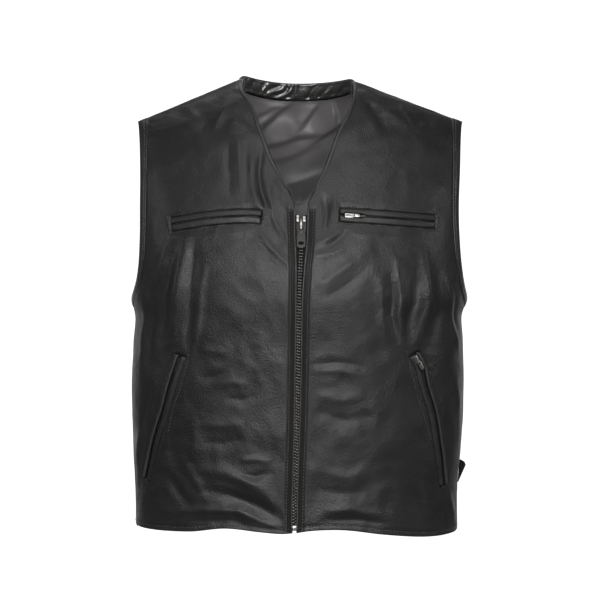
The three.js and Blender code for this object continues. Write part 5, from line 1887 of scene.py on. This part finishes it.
class VEST_OT_stage(bpy.types.Operator):
    """Set the floor, the backdrop, the lights and the camera"""

    bl_idname = "vest.stage"
    bl_label = "Stage"

    def execute(self, context):
        settings = context.scene.vest_stage
        floor = -1.45  # the shoulders of somebody who wears it are about this high
        pale = pale_material("Pale floor", "#f2f2f1", 0.75)
        glow = pale_material("Lit backdrop", "#f4f4f4", 1.0)
        corners = [(-6, 6), (6, 6), (6, -6), (-6, -6)]
        boards = [stage_board("floor", [(*corner, floor) for corner in corners[::-1]], pale)]
        for k, (start, end) in enumerate(zip(corners, corners[1:] + corners[:1])):
            wall = [(*start, floor), (*end, floor), (*end, 4), (*start, 4)]
            boards.append(stage_board(f"backdrop_{k + 1}", wall, glow))
        for board in boards:
            board.visible_glossy = False
            board.visible_diffuse = False
        area_light("key", (0.03, -3.2, 0.28), (0, 0, -0.2), (1.7, 1.1), settings.key * 1.03)
        area_light("high", (0.1, -1.9, 1.6), (0, 0, -0.05), (1.8, 0.8), settings.key * 0.3)
        area_light("fill", (-2.4, -1.0, 0.5), (0, 0, -0.1), (0.7, 1.1), settings.key * 0.13)
        area_light("side", (2.3, -1.2, 0.3), (0, 0, -0.15), (0.5, 1.0), settings.key * 0.15)
        area_light("back", (0.4, 3.2, 0.7), (0, 0, -0.3), (1.6, 1.2), settings.key * 0.35)
        area_light("rim_right", (-2.0, 2.7, -0.1), (0, 0, -0.3), (1.5, 1.5), settings.key * 0.1)
        area_light("rim_left", (2.0, 2.7, -0.1), (0, 0, -0.3), (1.5, 1.5), settings.key * 0.1)
        area_light("top", (-0.2, 0.5, 1.6), (0, 0, 0), (1.4, 0.9), settings.key * 0.14)
        world = bpy.data.worlds.new("Studio")
        world.use_nodes = True
        world.node_tree.nodes["Background"].inputs["Color"].default_value = to_linear("#ffffff")
        world.node_tree.nodes["Background"].inputs["Strength"].default_value = 0.16
        context.scene.world = world
        data = bpy.data.cameras.new("camera")
        data.lens = settings.lens
        data.sensor_width = 36
        camera = bpy.data.objects.new("camera", data)
        camera.location = (0.00286, -settings.distance, -0.286)
        camera.rotation_euler = (math.pi / 2, 0, 0)
        bpy.context.scene.collection.objects.link(camera)
        context.scene.camera = camera
        context.scene.view_settings.view_transform = "Standard"
        return {"FINISHED"}


OPERATORS = (
    VEST_OT_stage,
    VEST_OT_fronts,
    VEST_OT_back,
    VEST_OT_lining,
    VEST_OT_bands,
    VEST_OT_collar,
    VEST_OT_zip,
    VEST_OT_pockets,
    VEST_OT_pulls,
    VEST_OT_tab,
    VEST_OT_stitching,
)


class VEST_PT_panel(bpy.types.Panel):
    bl_label = "Vest"
    bl_space_type = "VIEW_3D"
    bl_region_type = "UI"
    bl_category = "Vest"

    def draw(self, context):
        layout = self.layout
        for group in ("vest_leather", "vest_sewing", "vest_zip", "vest_stage"):
            settings = getattr(context.scene, group)
            for key in settings.__annotations__:
                layout.prop(settings, key)
        for operator in OPERATORS:
            layout.operator(operator.bl_idname)


GROUPS = {
    "vest_leather": VestLeatherSettings,
    "vest_sewing": VestSewingSettings,
    "vest_zip": VestZipSettings,
    "vest_stage": VestStageSettings,
}


def register():
    for cls in (*GROUPS.values(), *OPERATORS, VEST_PT_panel):
        bpy.utils.register_class(cls)
    for key, group in GROUPS.items():
        setattr(bpy.types.Scene, key, PointerProperty(type=group))


def unregister():
    for key in GROUPS:
        delattr(bpy.types.Scene, key)
    for cls in (VEST_PT_panel, *reversed(OPERATORS), *GROUPS.values()):
        bpy.utils.unregister_class(cls)


def main():
    register()
    for operator in OPERATORS:
        category, name = operator.bl_idname.split(".")
        if getattr(getattr(bpy.ops, category), name)() != {"FINISHED"}:
            raise RuntimeError(f"{operator.bl_idname} didn't finish")


if __name__ == "__main__":
    main()
